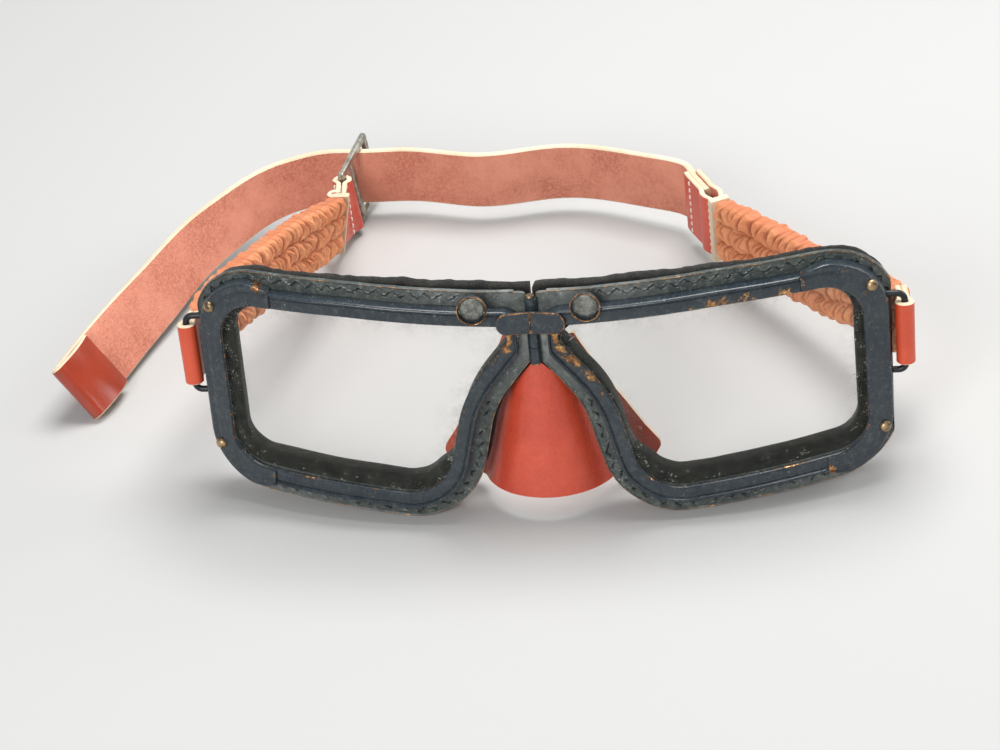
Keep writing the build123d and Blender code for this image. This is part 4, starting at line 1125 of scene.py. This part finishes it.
upright = np.array((0, 0, 1.0))
layer_leather, layer_height, stitched_at = 1.6, 20.2, (2, 25)
layer_runs = (0, 1.5, 3.2, 5.0, 6.6, 8.0, 9.0, 10.0, 20.0)
layer_offsets = (1.45, 1.8, 2.5, 2.75, 2.3, 1.85, 1.8, 1.9, 1.9)
reach = np.linspace(0, 7.4, 16)
strap_end = strap_start * floor_part + (0, 0, join_origin[2])
middle = np.concatenate((join_origin + reach[:, None] * join_way, strap_end))
middle_run = np.concatenate((reach, 7.7 + strap_run))
middle_way = unit(np.gradient(middle, axis=0) * floor_part)
offset = np.interp(middle_run, layer_runs, layer_offsets)[:, None]
parts = []
for face in (1, -1):
    outward = face * np.cross(upright, middle_way)
    points = middle + outward * offset
    parts.append(strip(points, outward, upright, layer_leather, layer_height, (1, 0, 2)))
    for index in stitched_at:
        foot = points[index] - upright * stitch_count * stitch_pitch / 2 + outward[index] * 0.75
        parts += stitches(foot, upright, outward[index])
join_out = np.cross(upright, join_way)
parts.append(binding(join_start - join_way * 2.0, join_start + join_way * 0.35, join_out, upright, 6.2))
piece("stitched_join_tab", parts, [red_grain, suede, cut_edge, thread], "rear", ["join_tab"],
      smooth=40)


# BUCKLE
# A pressed slide of dull plated steel: a frame and two inner bars, one slot for the leather
# tab and a wide one for the strap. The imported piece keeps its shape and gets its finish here.
dull_steel, tree, shader = material("dull_plate")
dulled = ramped(tree, noise(tree, 350.0, 6.0, 0.7), 0.35, 0.7)
tone = mixed(tree, dulled, (0.50, 0.48, 0.42, 1), (0.24, 0.22, 0.18, 1))
surface(tree, shader, Base_Color=tone, Metallic=0.9, Roughness=0.36,
        Normal=bumped(tree, noise(tree, 700.0, 5.0, 0.7), 0.00006))
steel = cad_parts["buckle"]
steel.data.materials.clear()
steel.data.materials.append(dull_steel)


# BUCKLE TAB
# A doubled strip of red leather from the left sleeve round the near bar of the buckle. Its
# loose end is curled, white stitches hold the layers, and cream binding closes the sleeve.
tilt, yaw = math.radians(10), math.radians(14)
slide_way = np.array((math.sin(yaw) * math.cos(tilt), math.cos(yaw) * math.cos(tilt), math.sin(tilt)))
slide_up = np.array((-math.sin(yaw) * math.sin(tilt), -math.cos(yaw) * math.sin(tilt), math.cos(tilt)))
strap_slot = np.array((-72.64, ring_reach[1], 14.922))
near_bar = strap_slot - slide_way * 13.6
left_end = paths["left"][0][-1] * (-1, 1, 1)
left_up = unit(np.array((-sleeve_twist["left"], 0, 1.0)))
tab_rise = near_bar[2] - left_end[2]
tab_length = np.linalg.norm((near_bar - left_end)[:2])
tab_way = unit((near_bar - left_end) * floor_part)
tab_out = np.cross(tab_way, upright)
tab_width, loop_radius, curl_radius, curl_leather = 20.6, 2.3, 1.5, 1.4
loop = [(0.4, 0.95), (4.0, 0.95), (9.0, 0.95), (tab_length - 3.4, 1.0)]
loop += arc(tab_length, 0, loop_radius, np.radians(np.linspace(125, -125, 24)))
loop += [(tab_length - 3.4, -1.0), (9.0, -0.95), (4.0, -0.95), (1.2, -0.95)]
loop = np.array(loop)
share = np.clip(loop[:, :1] / tab_length, 0, 1)
points, face_way = laid(loop, left_end, tab_way, tab_out, -1)
points = points + upright * share * tab_rise
width_way = unit(left_up * (1 - share) + slide_up * share)
parts = [strip(points, face_way, width_way, layer_leather, tab_width, (1, 0, 2))]
curl = np.array(arc(curl_leather, loop_radius, curl_radius, np.radians(np.linspace(-80, 190, 22))))
points, face_way = laid(curl, left_end, tab_way, -tab_out)
parts.append(strip(points, face_way, left_up, curl_leather, tab_width, (1, 0, 2)))
for face in (1, -1):
    foot = left_end + tab_way * 10.5 + face * tab_out * 1.8 - upright * 11.4
    parts += stitches(foot, upright, face * tab_out)
parts.append(binding(left_end - tab_way * 1.8, left_end + tab_way * 0.35, tab_out, left_up, 5.6))
piece("curled_buckle_tab", parts, [red_grain, suede, cut_edge, thread], "buckle_end",
      ["buckle_tab"], smooth=40)
